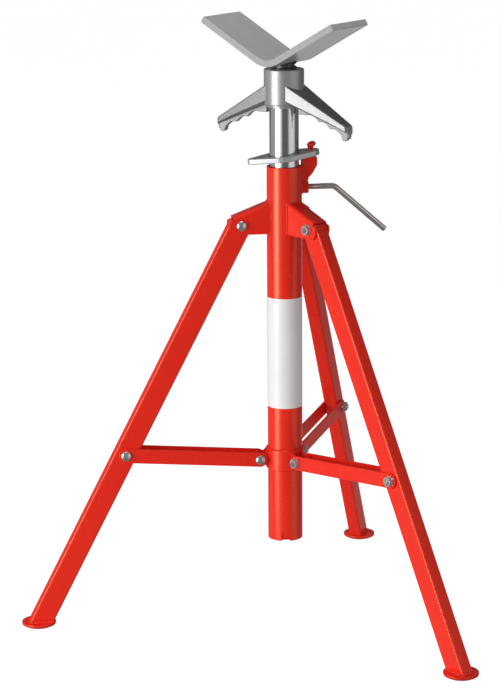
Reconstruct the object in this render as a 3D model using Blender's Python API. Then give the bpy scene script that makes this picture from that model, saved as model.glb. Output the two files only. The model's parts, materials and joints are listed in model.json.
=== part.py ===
"""High pipe support stand: a V head on a screw jack and sliding post, on a folding tripod.

Metres, +Z up. The floor is z = 0 and the origin is the middle of the feet's footprint.
Local frames: x runs out from the mast, y runs sideways, z runs up.
"""

import math

import bmesh
import bpy

# Mast tube and the post that slides in it
MAST_D = 0.0508
MAST_WALL = 0.0030
MAST_BOTTOM = 0.1130
MAST_LENGTH = 0.5550
POST_D = 0.0422
POST_WALL = 0.0026
POST_SHOWING = 0.1005
POST_LENGTH = 0.6000
STOP_TAB_W = 0.0120
STOP_TAB_H = 0.0150
STOP_TAB_BEND = math.radians(16)
STOP_TAB_AZIMUTH = math.radians(-99)

# Tripod
LEG_COUNT = 3
FIRST_LEG_AZIMUTH = math.radians(180)
LEG_LEAN = math.radians(27.45)
LEG_DEPTH = 0.0320
LEG_W = 0.0205
LEG_WALL = 0.0020
LEG_CORNER = 0.0030
LEG_CROWN_R = 0.0118
LEG_FOLD = math.radians(25)
PIVOT_R = 0.0650
PIVOT_BELOW_TOP = 0.0830
BRACE_PIN_DOWN_LEG = 0.3740
FOOT_D = 0.0500
FOOT_T = 0.0060
FOOT_SEAT_D = 0.0380

# Leg brackets
BRACKET_T = 0.0030
BRACKET_SLOPE = math.radians(21)
BRACKET_WEB_OVERHANG = 0.0069
BRACKET_CHEEK_R = 0.0170
BRACKET_BELOW_PIVOT = 0.0130

# Braces and their sliding collar
COLLAR_ABOVE_BOTTOM = 0.1230
COLLAR_H = 0.0320
COLLAR_WALL = 0.0027
COLLAR_PIN_R = 0.0393
EAR_T = 0.0030
EAR_END_R = 0.0090
EAR_NECK = 0.0025
STRAP_W = 0.0210
STRAP_T = 0.0030

# Fasteners
BOLT_D = 0.0080
BOLT_HEAD_D = 0.0148
BOLT_HEAD_H = 0.0046
NUT_ACROSS = 0.0130
NUT_H = 0.0060
BOLT_TAIL = 0.0022

# Lock ring with its lug and peg
RING_T = 0.0080
RING_R = 0.0305
RING_TILT = math.radians(6.8)
RING_TAB_REACH = 0.0535
RING_TAB_R = 0.0070
RING_NOSE_REACH = 0.0510
RING_NOSE_R = 0.0170
RING_PIVOT_X = 0.0380
RING_PIVOT_ABOVE_MAST = 0.0180
LUG_T = 0.0110
LUG_REACH = 0.0472
LUG_BELOW_TOP = 0.0212
LUG_TAPER_BELOW_TOP = 0.0180
LUG_TAPER_DROP = 0.0120
LUG_HEEL = 0.0090
PEG_D = 0.0070
PEG_HEAD_D = 0.0125
PEG_HEAD_H = 0.0090
PEG_STAND = 0.0164

# Clamp screw
CLAMP_BELOW_TOP = 0.0315
CLAMP_D = 0.0084
CLAMP_BOSS_ACROSS = 0.0170
CLAMP_BOSS_REACH = 0.0345
CLAMP_ELBOW_X = 0.0730
CLAMP_ELBOW_R = 0.0140
CLAMP_DROOP = math.radians(41.5)
CLAMP_ARM_LENGTH = 0.1005

# Screw jack
WASHER_T = 0.0020
NUT_HUB_D = 0.0575
NUT_HUB_H = 0.0504
NUT_LIP_D = 0.0498
NUT_LIP_H = 0.0040
NUT_SOCKET_DEPTH = 0.0180
ARM_AZIMUTH = math.radians(-42)
ARM_REACH = 0.1090
ARM_ROOT_TOP_BELOW_HUB_TOP = 0.0200
ARM_DROP = 0.0566
ARM_ROOT_H = 0.0253
ARM_TIP_H = 0.0084
ARM_ROOT_W = 0.0478
ARM_TIP_W = 0.0181
RIB_W = 0.0090
RIB_DEPTH = 0.0073
RIB_TIP_DEPTH = 0.0103
RIB_FLAT_REACH = 0.0410
SCALLOP_RISE = 0.0034
SCALLOPS = 3
LUG_TIP_R = 0.0048
LUG_TIP_DEPTH = 0.0147
LUG_TIP_INSET = 0.0028
SCREW_D = 0.0362
SCREW_PITCH = 0.00635
SCREW_THREAD_DEPTH = 0.0030
SCREW_LENGTH = 0.1270
HEAD_GAP = 0.0066

# V plate
V_AZIMUTH = math.radians(-45)
V_SLOPE = math.radians(29.3)
V_WING_LENGTH = 0.1050
V_T = 0.0095
V_BEND_R = 0.0330
V_LENGTH = 0.0900

# Clearances
SEAT_GAP = 0.0003
RUN_GAP = 0.0003
SIDE_GAP = 0.0004
TILT_GAP = 0.0006
WEB_GAP = 0.0008
THREAD_GAP = 0.0004
CROWN_MARGIN = math.radians(6)
CUT_PAST = 0.0200

# Facets of round pieces
ROUND_TUBE = 48
ROUND_SMALL = 16
ROUND_THREAD = 18
ARC_STEP = math.radians(15)
SHARP = math.radians(32)

# Worked out from the driving sizes
MAST_R = MAST_D / 2
MAST_TOP = MAST_BOTTOM + MAST_LENGTH
POST_TOP = MAST_TOP + POST_SHOWING
PIVOT_Z = MAST_TOP - PIVOT_BELOW_TOP
COLLAR_Z = MAST_BOTTOM + COLLAR_ABOVE_BOTTOM
POST_R = POST_D / 2
POST_BORE_R = POST_R - POST_WALL
LEG_TO_FOOT = PIVOT_Z / math.cos(LEG_LEAN)
FOOT_CIRCLE_R = PIVOT_R + PIVOT_Z * math.tan(LEG_LEAN)
MAST_X = FOOT_CIRCLE_R / 4
CLAMP_Z = MAST_TOP - CLAMP_BELOW_TOP
STRAP_Y = LEG_W / 2 + SIDE_GAP + STRAP_T / 2
STRAP_FACE_Y = STRAP_Y + STRAP_T / 2
CHEEK_Y = LEG_W / 2 + SIDE_GAP + BRACKET_T
BRACE_END_R = PIVOT_R + BRACE_PIN_DOWN_LEG * math.sin(LEG_LEAN)
BRACE_END_Z = PIVOT_Z - BRACE_PIN_DOWN_LEG * math.cos(LEG_LEAN)
BRACE_LENGTH = math.hypot(BRACE_END_R - COLLAR_PIN_R, BRACE_END_Z - COLLAR_Z)
BRACE_RISE = math.atan2(BRACE_END_Z - COLLAR_Z, BRACE_END_R - COLLAR_PIN_R)
RING_PIVOT_Z = MAST_TOP + RING_PIVOT_ABOVE_MAST
NUT_SHOULDER = POST_TOP + SEAT_GAP + WASHER_T + SEAT_GAP
NUT_LIP_BOTTOM = NUT_SHOULDER - NUT_SOCKET_DEPTH
NUT_HUB_BOTTOM = NUT_LIP_BOTTOM + NUT_LIP_H
NUT_HUB_TOP = NUT_HUB_BOTTOM + NUT_HUB_H
V_UNDERSIDE = NUT_HUB_TOP + HEAD_GAP
SCREW_R = SCREW_D / 2

X_AXIS, Y_AXIS, Z_AXIS = "X", "Y", "Z"


def clear_scene():
    for obj in list(bpy.data.objects):
        bpy.data.objects.remove(obj, do_unlink=True)


def finish(name, rgb, roughness, metallic):
    """One Principled material."""
    material = bpy.data.materials.new(name)
    material.use_nodes = True
    shader = material.node_tree.nodes["Principled BSDF"]
    shader.inputs["Base Color"].default_value = (*rgb, 1.0)
    shader.inputs["Roughness"].default_value = roughness
    shader.inputs["Metallic"].default_value = metallic
    return material


def empty(name, parent=None, location=(0, 0, 0), rotation=(0, 0, 0)):
    """A frame to place pieces in."""
    obj = bpy.data.objects.new(name, None)
    bpy.context.scene.collection.objects.link(obj)
    obj.parent = parent
    obj.location = location
    obj.rotation_euler = rotation
    return obj


def place(name, mesh, parent, material=None, location=(0, 0, 0), rotation=(0, 0, 0)):
    """An object in a frame. One without a material is a helper, left out of the render."""
    obj = bpy.data.objects.new(name, mesh)
    bpy.context.scene.collection.objects.link(obj)
    obj.parent = parent
    obj.location = location
    obj.rotation_euler = rotation
    if material is None:
        obj.hide_render = True
        obj.display_type = "WIRE"
    else:
        mesh.materials.append(material)
        mesh.shade_smooth()
        mesh.set_sharp_from_angle(angle=SHARP)
    return obj


def combine(obj, helper, operation):
    """A live Boolean of one helper on a piece."""
    modifier = obj.modifiers.new(helper.name, "BOOLEAN")
    modifier.operation = operation
    modifier.solver = "EXACT"
    modifier.object = helper


def cut(obj, helper):
    combine(obj, helper, "DIFFERENCE")


def join(obj, helper):
    combine(obj, helper, "UNION")


def mesh_of(shape, name):
    """A mesh from a bmesh, with its faces turned outwards."""
    bmesh.ops.recalc_face_normals(shape, faces=shape.faces)
    mesh = bpy.data.meshes.new(name)
    shape.to_mesh(mesh)
    shape.free()
    return mesh


def add_prism(shape, outline, low, high):
    """An outline of (x, z) points carried along y from low to high."""
    front = [shape.verts.new((x, low, z)) for x, z in outline]
    face = shape.faces.new(front)
    made = bmesh.ops.extrude_face_region(shape, geom=[face])["geom"]
    moved = [v for v in made if isinstance(v, bmesh.types.BMVert)]
    bmesh.ops.translate(shape, verts=moved, vec=(0, high - low, 0))


def prism(name, outline, low, high):
    shape = bmesh.new()
    add_prism(shape, outline, low, high)
    return mesh_of(shape, name)


def turned(name, profile, sides, hollow=False):
    """A profile of (radius, z) points turned round z, closed on the axis unless it is hollow."""
    shape = bmesh.new()
    points = list(profile) if hollow else [(0, profile[0][1]), *profile, (0, profile[-1][1])]
    ring = [shape.verts.new((r, 0, z)) for r, z in points]
    ends = ring if not hollow else [*ring, ring[0]]
    edges = [shape.edges.new(pair) for pair in zip(ends, ends[1:])]
    bmesh.ops.spin(shape, geom=ring + edges, axis=(0, 0, 1), cent=(0, 0, 0),
                   angle=2 * math.pi, steps=sides, use_merge=True)
    bmesh.ops.remove_doubles(shape, verts=shape.verts, dist=1e-6)
    return mesh_of(shape, name)


def arc(centre, radius, start, end):
    """Points along an arc in the plane of an outline."""
    steps = max(2, math.ceil(abs(end - start) / ARC_STEP))
    turn = (end - start) / steps
    return [(centre[0] + radius * math.cos(start + turn * i),
             centre[1] + radius * math.sin(start + turn * i)) for i in range(steps + 1)]


def hull(points):
    """The outer outline of a set of points, counter-clockwise."""
    def half(ordered):
        chain = []
        for p in ordered:
            while len(chain) > 1 and cross(chain[-2], chain[-1], p) <= 1e-12:
                chain.pop()
            chain.append(p)
        return chain[:-1]

    def cross(a, b, c):
        return (b[0] - a[0]) * (c[1] - a[1]) - (b[1] - a[1]) * (c[0] - a[0])

    ordered = sorted(set(points))
    return half(ordered) + half(ordered[::-1])


def rod(name, radius, length, sides=ROUND_SMALL):
    """A plain cylinder, centred, along z."""
    return turned(name, [(radius, -length / 2), (radius, length / 2)], sides)


def ring(name, outer, inner, low, high, sides=ROUND_TUBE):
    profile = [(outer, low), (outer, high), (inner, high), (inner, low)]
    return turned(name, profile, sides, hollow=True)


ALONG = {X_AXIS: (0, math.pi / 2, 0), Y_AXIS: (-math.pi / 2, 0, 0), Z_AXIS: (0, 0, 0)}


def drill(obj, name, parent, radius, length, location, axis):
    """A round hole through a piece."""
    cut(obj, place(name, rod(name, radius, length), parent, None, location, ALONG[axis]))


def hexagon(across):
    radius = across / math.sqrt(3)
    turns = [math.pi / 3 * i for i in range(6)]
    return [(radius * math.cos(turn), radius * math.sin(turn)) for turn in turns]


# Mast


def mast_bore_cutter(name, parent):
    """The mast's outside with a weld gap, to cope a piece that is welded to it."""
    radius = MAST_R + SEAT_GAP
    profile = [(radius, MAST_BOTTOM - CUT_PAST), (radius, MAST_TOP + CUT_PAST)]
    return place(name, turned(name, profile, ROUND_TUBE), parent)


def make_mast(stand, paint):
    bore = MAST_R - MAST_WALL
    tube = place("mast_tube", ring("mast_tube", MAST_R, bore, MAST_BOTTOM, MAST_TOP), stand, paint)
    tab_frame = empty("stop_tab_frame", stand, (0, 0, MAST_BOTTOM), (0, 0, STOP_TAB_AZIMUTH))
    slot_w = STOP_TAB_W + 2 * MAST_WALL / 3
    slot = [(bore - MAST_WALL, -CUT_PAST), (MAST_R + MAST_WALL, -CUT_PAST),
            (MAST_R + MAST_WALL, STOP_TAB_H), (bore - MAST_WALL, STOP_TAB_H)]
    cut(tube, place("stop_tab_slot", prism("stop_tab_slot", slot, -slot_w / 2, slot_w / 2), tab_frame))
    skin = math.sqrt(MAST_R**2 - (STOP_TAB_W / 2) ** 2)
    tab = [(-MAST_WALL, -STOP_TAB_H), (0, -STOP_TAB_H), (0, MAST_WALL), (-MAST_WALL, MAST_WALL)]
    tab_mesh = prism("stop_tab", tab, -STOP_TAB_W / 2, STOP_TAB_W / 2)
    inset = skin - MAST_WALL * math.sin(STOP_TAB_BEND) - SEAT_GAP
    join(tube, place("stop_tab", tab_mesh, tab_frame, None, (inset, 0, STOP_TAB_H), (0, STOP_TAB_BEND, 0)))
    drill(tube, "clamp_hole", stand, CLAMP_D / 2 + RUN_GAP, MAST_R, (MAST_R, 0, CLAMP_Z), X_AXIS)


def make_post(stand, plated):
    post_frame = empty("post_frame", stand, (0, 0, POST_TOP))
    place("inner_post", ring("inner_post", POST_R, POST_BORE_R, -POST_LENGTH, 0), post_frame, plated)


# Fasteners: the bolts lie along y, with the head on +y and the nut on -y


def bolt_mesh(name, face, tail):
    """A domed head on +z seated on a face, and a shank down to the tail."""
    r, head = BOLT_D / 2, BOLT_HEAD_D / 2
    seat = face + SEAT_GAP
    edge = BOLT_HEAD_H / 3
    dome = [(head * math.cos(a), seat + edge + (BOLT_HEAD_H - edge) * math.sin(a))
            for a in (math.radians(d) for d in (0, 30, 60))]
    profile = [(r, tail), (r, seat), (head, seat), *dome]
    top = seat + BOLT_HEAD_H
    return turned(name, [*profile, (head / 5, top)], ROUND_SMALL)


def add_bolt(name, parent, metal, face, tail, location=(0, 0, 0)):
    place(name, bolt_mesh(name, face, tail), parent, metal, location, ALONG[Y_AXIS])


def add_nut(name, parent, metal, face, location=(0, 0, 0)):
    """A hexagon nut seated on the -y face, with a plain hole for its bolt."""
    outer = -face - SEAT_GAP
    nut = place(name, prism(name, hexagon(NUT_ACROSS), outer - NUT_H, outer), parent, metal, location)
    middle = (location[0], outer, location[2])
    drill(nut, name + "_hole", parent, BOLT_D / 2 + RUN_GAP, NUT_H * 3, middle, Y_AXIS)


def tail_end(face):
    return -face - SEAT_GAP - NUT_H - BOLT_TAIL


# Tripod


def bracket_web_point(along, above):
    """A point of the sloping web, from the pivot: along the slope and square to it."""
    c, s = math.cos(BRACKET_SLOPE), math.sin(BRACKET_SLOPE)
    return (PIVOT_R + along * c + above * s, PIVOT_Z - along * s + above * c)


def make_bracket(number, frame, paint, zinc):
    """A folded channel over the leg's top end, coped to the mast."""
    name = f"leg_bracket_{number}"
    inside = LEG_CROWN_R + WEB_GAP
    outside = inside + BRACKET_T
    to_mast = -(PIVOT_R - MAST_WALL) / math.cos(BRACKET_SLOPE)
    top_inner = bracket_web_point(to_mast + outside * math.tan(BRACKET_SLOPE), outside)
    web_end = bracket_web_point(BRACKET_WEB_OVERHANG, outside)
    lower = -math.asin(BRACKET_BELOW_PIVOT / BRACKET_CHEEK_R)
    cheek = arc((PIVOT_R, PIVOT_Z), BRACKET_CHEEK_R, math.radians(20), lower)
    heel = (top_inner[0], PIVOT_Z - BRACKET_BELOW_PIVOT)
    outline = [top_inner, web_end, *cheek, heel]
    bracket = place(name, prism(name, outline, -CHEEK_Y, CHEEK_Y), frame, paint)
    reach = PIVOT_R + LEG_DEPTH
    room_top = [bracket_web_point(-reach, inside), bracket_web_point(reach, inside)]
    room = [*room_top, (room_top[1][0], 0), (room_top[0][0], 0)]
    room_y = LEG_W / 2 + SIDE_GAP
    cut(bracket, place(name + "_room", prism(name + "_room", room, -room_y, room_y), frame))
    cut(bracket, mast_bore_cutter(name + "_cope", frame))
    at = (PIVOT_R, 0, PIVOT_Z)
    drill(bracket, name + "_hole", frame, BOLT_D / 2 + RUN_GAP, CHEEK_Y * 3, at, Y_AXIS)
    add_bolt(f"leg_pivot_bolt_{number}", frame, zinc, CHEEK_Y, tail_end(CHEEK_Y), at)
    add_nut(f"leg_pivot_nut_{number}", frame, zinc, CHEEK_Y, at)


def rounded_section(depth, width, corner):
    """A rectangle with round corners, as (x, y) points."""
    x, y = depth / 2 - corner, width / 2 - corner
    corners = [((x, y), 0), ((-x, y), 90), ((-x, -y), 180), ((x, -y), 270)]
    points = []
    for centre, start in corners:
        points += arc(centre, corner, math.radians(start), math.radians(start + 90))[::2]
    return points


def box_tube(name, depth, width, wall, corner, low, high):
    """A hollow rectangular tube along z, open at both ends."""
    shape = bmesh.new()
    inner_corner = max(corner - wall, corner / 4)
    sections = (rounded_section(depth, width, corner),
                rounded_section(depth - 2 * wall, width - 2 * wall, inner_corner))
    loops = [[shape.verts.new((x, y, z)) for x, y in section] for section in sections for z in (low, high)]
    for a, b in ((0, 1), (1, 3), (3, 2), (2, 0)):
        for i in range(len(loops[a])):
            j = (i + 1) % len(loops[a])
            shape.faces.new((loops[a][i], loops[a][j], loops[b][j], loops[b][i]))
    return mesh_of(shape, name)


def make_leg(number, frame, paint, zinc):
    """A leg on its pivot, cut level on its foot disc.

    Its top end is round, and trimmed where it turns past the bracket's web as the leg folds.
    """
    pivot = empty(f"leg_pivot_{number}", frame, (PIVOT_R, 0, PIVOT_Z), (0, -LEG_LEAN, 0))
    name = f"leg_{number}"
    half = LEG_DEPTH / 2
    end_r = half - SEAT_GAP
    tube = box_tube(name, LEG_DEPTH, LEG_W, LEG_WALL, LEG_CORNER, -LEG_TO_FOOT - LEG_DEPTH, LEG_DEPTH)
    leg = place(name, tube, pivot, paint)
    trim = math.acos(LEG_CROWN_R / end_r)
    spread = math.pi / 2 - BRACKET_SLOPE - LEG_LEAN
    folded = spread + LEG_FOLD + CROWN_MARGIN
    shoulder = (end_r * math.cos(spread - trim), end_r * math.sin(spread - trim))
    crown = [(half + CUT_PAST, shoulder[1]), shoulder,
             *arc((0, 0), LEG_CROWN_R, spread, folded),
             *arc((0, 0), end_r, folded + trim, math.pi), (-half - CUT_PAST, 0),
             (-half - CUT_PAST, LEG_DEPTH + CUT_PAST), (half + CUT_PAST, LEG_DEPTH + CUT_PAST)]
    cut(leg, place(name + "_crown", prism(name + "_crown", crown, -LEG_W, LEG_W), pivot))
    span = FOOT_CIRCLE_R + FOOT_D + LEG_DEPTH
    ground = [(0, FOOT_T + SEAT_GAP), (0, -span), (span, -span), (span, FOOT_T + SEAT_GAP)]
    cut(leg, place(name + "_ground", prism(name + "_ground", ground, -LEG_W, LEG_W), frame))
    hole = BOLT_D / 2 + RUN_GAP
    pin_at = (0, 0, -BRACE_PIN_DOWN_LEG)
    drill(leg, name + "_pivot_hole", pivot, hole, LEG_W * 2, (0, 0, 0), Y_AXIS)
    drill(leg, name + "_brace_hole", pivot, hole, LEG_W * 2, pin_at, Y_AXIS)
    pin = f"brace_pin_{number}"
    place(pin, rod(pin, BOLT_D / 2, LEG_W), pivot, zinc, pin_at, ALONG[Y_AXIS])
    foot = f"foot_{number}"
    r, seat = FOOT_D / 2, FOOT_SEAT_D / 2
    rim = FOOT_T / 3
    profile = [(r - rim, 0), (r, rim), (r, FOOT_T - rim), (r - rim, FOOT_T), (seat, FOOT_T)]
    place(foot, turned(foot, profile, ROUND_TUBE // 2), pivot, paint, (0, 0, -LEG_TO_FOOT), (0, LEG_LEAN, 0))


def make_collar(frames, stand, paint, zinc):
    """The sliding sleeve with a pair of ears for each leg, and its bolts."""
    bore, outer = MAST_R + RUN_GAP, MAST_R + RUN_GAP + COLLAR_WALL
    half = COLLAR_H / 2
    collar_frame = empty("collar_frame", stand, (0, 0, COLLAR_Z))
    collar = place("brace_collar", ring("brace_collar", outer, bore, -half, half), collar_frame, paint)
    root = math.sqrt((bore + COLLAR_WALL / 2) ** 2 - (LEG_W / 2) ** 2)
    neck = outer + EAR_NECK
    end = arc((COLLAR_PIN_R, 0), EAR_END_R, -math.pi / 2, math.pi / 2)
    outline = [(root, -half), (neck, -EAR_END_R), *end, (neck, EAR_END_R), (root, half)]
    for number, frame in enumerate(frames, 1):
        at = (COLLAR_PIN_R, 0, COLLAR_Z)
        for word, low in (("head", LEG_W / 2 - EAR_T), ("tail", -LEG_W / 2)):
            name = f"ear_{number}_{word}"
            join(collar, place(name, prism(name, outline, low, low + EAR_T), frame, None, (0, 0, COLLAR_Z)))
        drill(collar, f"ear_{number}_hole", frame, BOLT_D / 2 + RUN_GAP, LEG_W * 2, at, Y_AXIS)
        add_bolt(f"collar_bolt_{number}", frame, zinc, STRAP_FACE_Y, tail_end(STRAP_FACE_Y), at)
        add_nut(f"collar_nut_{number}", frame, zinc, STRAP_FACE_Y, at)


def make_braces(number, frame, paint, zinc):
    """Two flat straps from the collar's ears to the leg, with the leg bolt's two ends."""
    pivot = empty(f"brace_pivot_{number}", frame, (COLLAR_PIN_R, 0, COLLAR_Z), (0, -BRACE_RISE, 0))
    half = STRAP_W / 2
    outline = [*arc((0, 0), half, math.pi / 2, math.pi * 3 / 2),
               *arc((BRACE_LENGTH, 0), half, -math.pi / 2, math.pi / 2)]
    for word, y in (("head", STRAP_Y), ("tail", -STRAP_Y)):
        name = f"brace_{number}_{word}_side"
        mesh = prism(name, outline, y - STRAP_T / 2, y + STRAP_T / 2)
        strap = place(name, mesh, pivot, paint)
        for end, x in (("collar", 0), ("leg", BRACE_LENGTH)):
            drill(strap, f"{name}_{end}_hole", pivot, BOLT_D / 2 + RUN_GAP, STRAP_T * 3, (x, y, 0), Y_AXIS)
    at = (BRACE_LENGTH, 0, 0)
    inner = STRAP_Y - STRAP_T / 2
    add_bolt(f"brace_bolt_{number}", pivot, zinc, STRAP_FACE_Y, inner, at)
    add_nut(f"brace_nut_{number}", pivot, zinc, STRAP_FACE_Y, at)
    tail = f"brace_tail_{number}"
    length = -tail_end(STRAP_FACE_Y) - inner
    middle = (BRACE_LENGTH, -inner - length / 2, 0)
    place(tail, rod(tail, BOLT_D / 2, length), pivot, zinc, middle, ALONG[Y_AXIS])


# Lock ring and clamp


def make_lock(stand, paint, plated):
    """The tilting plate that grips the post, the lug that it bears on, and its peg."""
    pivot = empty("lock_ring_pivot", stand, (RING_PIVOT_X, 0, RING_PIVOT_Z), (0, -RING_TILT, 0))
    circles = ((-RING_PIVOT_X, RING_R), (RING_NOSE_REACH - RING_NOSE_R - RING_PIVOT_X, RING_NOSE_R),
               (RING_TAB_R - RING_TAB_REACH - RING_PIVOT_X, RING_TAB_R))
    points = [p for x, r in circles for p in arc((x, 0), r, 0, 2 * math.pi)[:-1]]
    lock = place("lock_ring", prism("lock_ring", hull(points), -RING_T / 2, RING_T / 2), pivot, plated)
    # The prism runs along y, so the plate is stood on its back to lie flat.
    lock.rotation_euler = (math.pi / 2, 0, 0)
    hole = (POST_R + TILT_GAP + RING_T / 2 * math.sin(RING_TILT)) / math.cos(RING_TILT)
    drill_round = turned("lock_hole", [(hole, -RING_T), (hole, RING_T)], ROUND_TUBE)
    cut(lock, place("lock_hole", drill_round, pivot, None, (-RING_PIVOT_X, 0, 0)))
    peg_hole = PEG_D / 2 + TILT_GAP + RING_T / 2 * math.tan(RING_TILT)
    drill(lock, "peg_hole", pivot, peg_hole, RING_T * 2, (0, 0, 0), Z_AXIS)

    sag = (RING_PIVOT_X - MAST_R) * math.tan(RING_TILT)
    top = RING_PIVOT_Z - RING_T / 2 / math.cos(RING_TILT) - sag - SEAT_GAP
    foot = MAST_TOP - LUG_BELOW_TOP
    taper_end = MAST_TOP - LUG_TAPER_BELOW_TOP
    waist = top - LUG_TAPER_DROP
    inner = MAST_R - MAST_WALL
    outline = [(inner, top), (LUG_REACH, top), (LUG_REACH, waist),
               ((MAST_R + LUG_HEEL + LUG_REACH) / 2, (waist + taper_end) / 2 - LUG_HEEL / 4),
               (MAST_R + LUG_HEEL, taper_end), (MAST_R + LUG_HEEL, foot), (inner, foot)]
    lug = place("latch_lug", prism("latch_lug", outline, -LUG_T / 2, LUG_T / 2), stand, paint)
    cut(lug, mast_bore_cutter("latch_lug_cope", stand))

    stand_z = top + SEAT_GAP
    head_z = RING_PIVOT_Z + RING_T / 2 + (PEG_STAND - RING_T) / 2
    r, head = PEG_D / 2, PEG_HEAD_D / 2
    dome = [(head * math.cos(a), head_z + PEG_HEAD_H / 2 + PEG_HEAD_H / 2 * math.sin(a))
            for a in (math.radians(d) for d in (-40, 0, 40))]
    crown = head_z + PEG_HEAD_H
    profile = [(r, stand_z), (r, head_z), *dome, (head / 4, crown)]
    place("latch_peg", turned("latch_peg", profile, ROUND_SMALL), stand, paint, (RING_PIVOT_X, 0, 0))


def make_clamp(stand, paint, steel):
    """A hexagon boss welded to the mast and the bent screw that turns in it."""
    clamp = empty("clamp_axis", stand, (0, 0, CLAMP_Z))
    inner = MAST_R - MAST_WALL
    boss_mesh = prism("clamp_boss", hexagon(CLAMP_BOSS_ACROSS), inner, CLAMP_BOSS_REACH)
    # The prism runs along y, so it is turned to run out along x.
    boss = place("clamp_boss", boss_mesh, clamp, paint, (0, 0, 0), (0, 0, -math.pi / 2))
    cut(boss, mast_bore_cutter("clamp_boss_cope", stand))
    drill(boss, "clamp_boss_hole", clamp, CLAMP_D / 2 + RUN_GAP, MAST_D * 2, (MAST_R, 0, 0), X_AXIS)
    c, s = math.cos(CLAMP_DROOP), math.sin(CLAMP_DROOP)
    setback = CLAMP_ELBOW_R * math.tan(CLAMP_DROOP / 2)
    bend_start = CLAMP_ELBOW_X - setback
    bend = arc((bend_start, -CLAMP_ELBOW_R), CLAMP_ELBOW_R, math.pi / 2, math.pi / 2 - CLAMP_DROOP)
    end = (CLAMP_ELBOW_X + CLAMP_ARM_LENGTH * c, -CLAMP_ARM_LENGTH * s)
    path = [(POST_R + SEAT_GAP, 0), *bend, end]
    curve = bpy.data.curves.new("clamp_screw", "CURVE")
    curve.dimensions = "3D"
    curve.bevel_depth = CLAMP_D / 2
    curve.bevel_resolution = 3
    curve.use_fill_caps = True
    spline = curve.splines.new("POLY")
    spline.points.add(len(path) - 1)
    for point, (x, z) in zip(spline.points, path):
        point.co = (x, 0, z, 1)
    screw = bpy.data.objects.new("clamp_screw", curve)
    bpy.context.scene.collection.objects.link(screw)
    screw.parent = clamp
    curve.materials.append(steel)


# Screw jack and V head


def make_jack_nut(swivel, cast):
    """The hub that turns on the post's top, with two drooping arms."""
    frame = empty("jack_nut_axis", swivel, (0, 0, 0), (0, 0, ARM_AZIMUTH))
    hub, lip = NUT_HUB_D / 2, NUT_LIP_D / 2
    profile = [(lip, NUT_LIP_BOTTOM), (lip, NUT_HUB_BOTTOM), (hub, NUT_HUB_BOTTOM), (hub, NUT_HUB_TOP)]
    nut = place("jack_nut", turned("jack_nut", profile, ROUND_TUBE), frame, cast)
    root_x = hub / 2
    root_top = NUT_HUB_TOP - ARM_ROOT_TOP_BELOW_HUB_TOP
    tip_top = root_top - ARM_DROP
    for word, turn in (("near", 0), ("far", math.pi)):
        arm_frame = empty(f"arm_{word}_frame", frame, (0, 0, 0), (0, 0, turn))
        body = arm_body(f"arm_{word}", root_x, root_top, tip_top)
        join(nut, place(f"arm_{word}", body, arm_frame))
        rib = prism(f"arm_{word}_rib", rib_outline(root_x, root_top, tip_top), -RIB_W / 2, RIB_W / 2)
        join(nut, place(f"arm_{word}_rib", rib, arm_frame))
    socket, bore = POST_R + RUN_GAP, SCREW_R + THREAD_GAP
    bored = [(socket, NUT_LIP_BOTTOM - CUT_PAST), (socket, NUT_SHOULDER), (bore, NUT_SHOULDER),
             (bore, NUT_HUB_TOP + CUT_PAST)]
    cut(nut, place("jack_nut_bore", turned("jack_nut_bore", bored, ROUND_TUBE), frame))


def arm_body(name, root_x, root_top, tip_top):
    """A tapering bar from the hub to the tip."""
    shape = bmesh.new()
    ends = ((root_x, root_top, ARM_ROOT_H, ARM_ROOT_W), (ARM_REACH, tip_top, ARM_TIP_H, ARM_TIP_W))
    corners = ((-1, 0), (1, 0), (1, 1), (-1, 1))
    loops = [[shape.verts.new((x, side * w / 2, top - drop * h)) for side, drop in corners]
             for x, top, h, w in ends]
    shape.faces.new(loops[0])
    shape.faces.new(loops[1])
    for i in range(4):
        j = (i + 1) % 4
        shape.faces.new((loops[0][i], loops[0][j], loops[1][j], loops[1][i]))
    return mesh_of(shape, name)


def rib_outline(root_x, root_top, tip_top):
    """The rib under an arm: level by the hub, then finger scallops and a round lug at the tip."""
    def under(x):
        share = (x - root_x) / (ARM_REACH - root_x)
        return root_top + share * (tip_top - root_top) - ARM_ROOT_H - share * (ARM_TIP_H - ARM_ROOT_H)

    lug_x = ARM_REACH - LUG_TIP_INSET - LUG_TIP_R
    lug_z = under(lug_x) - LUG_TIP_DEPTH + LUG_TIP_R
    lug_end = lug_x + LUG_TIP_R

    def edge(x):
        share = (x - RIB_FLAT_REACH) / (lug_x - RIB_FLAT_REACH)
        return under(x) - RIB_DEPTH - share * (RIB_TIP_DEPTH - RIB_DEPTH)

    step = (lug_x - LUG_TIP_R - RIB_FLAT_REACH) / SCALLOPS
    flat_z = edge(RIB_FLAT_REACH)
    outline = [(root_x, under(root_x) + ARM_TIP_H / 2), (root_x, flat_z), (RIB_FLAT_REACH, flat_z)]
    for i in range(SCALLOPS):
        start = RIB_FLAT_REACH + step * i
        for share in (0.2, 0.5, 0.8):
            x = start + step * share
            outline.append((x, edge(x) + SCALLOP_RISE * math.sin(math.pi * share)))
        x = start + step
        outline.append((x, edge(x)))
    outline += arc((lug_x, lug_z), LUG_TIP_R, math.pi * 7 / 6, math.pi * 2)
    outline += [(lug_end, under(lug_end) + ARM_TIP_H / 2)]
    return outline


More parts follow.
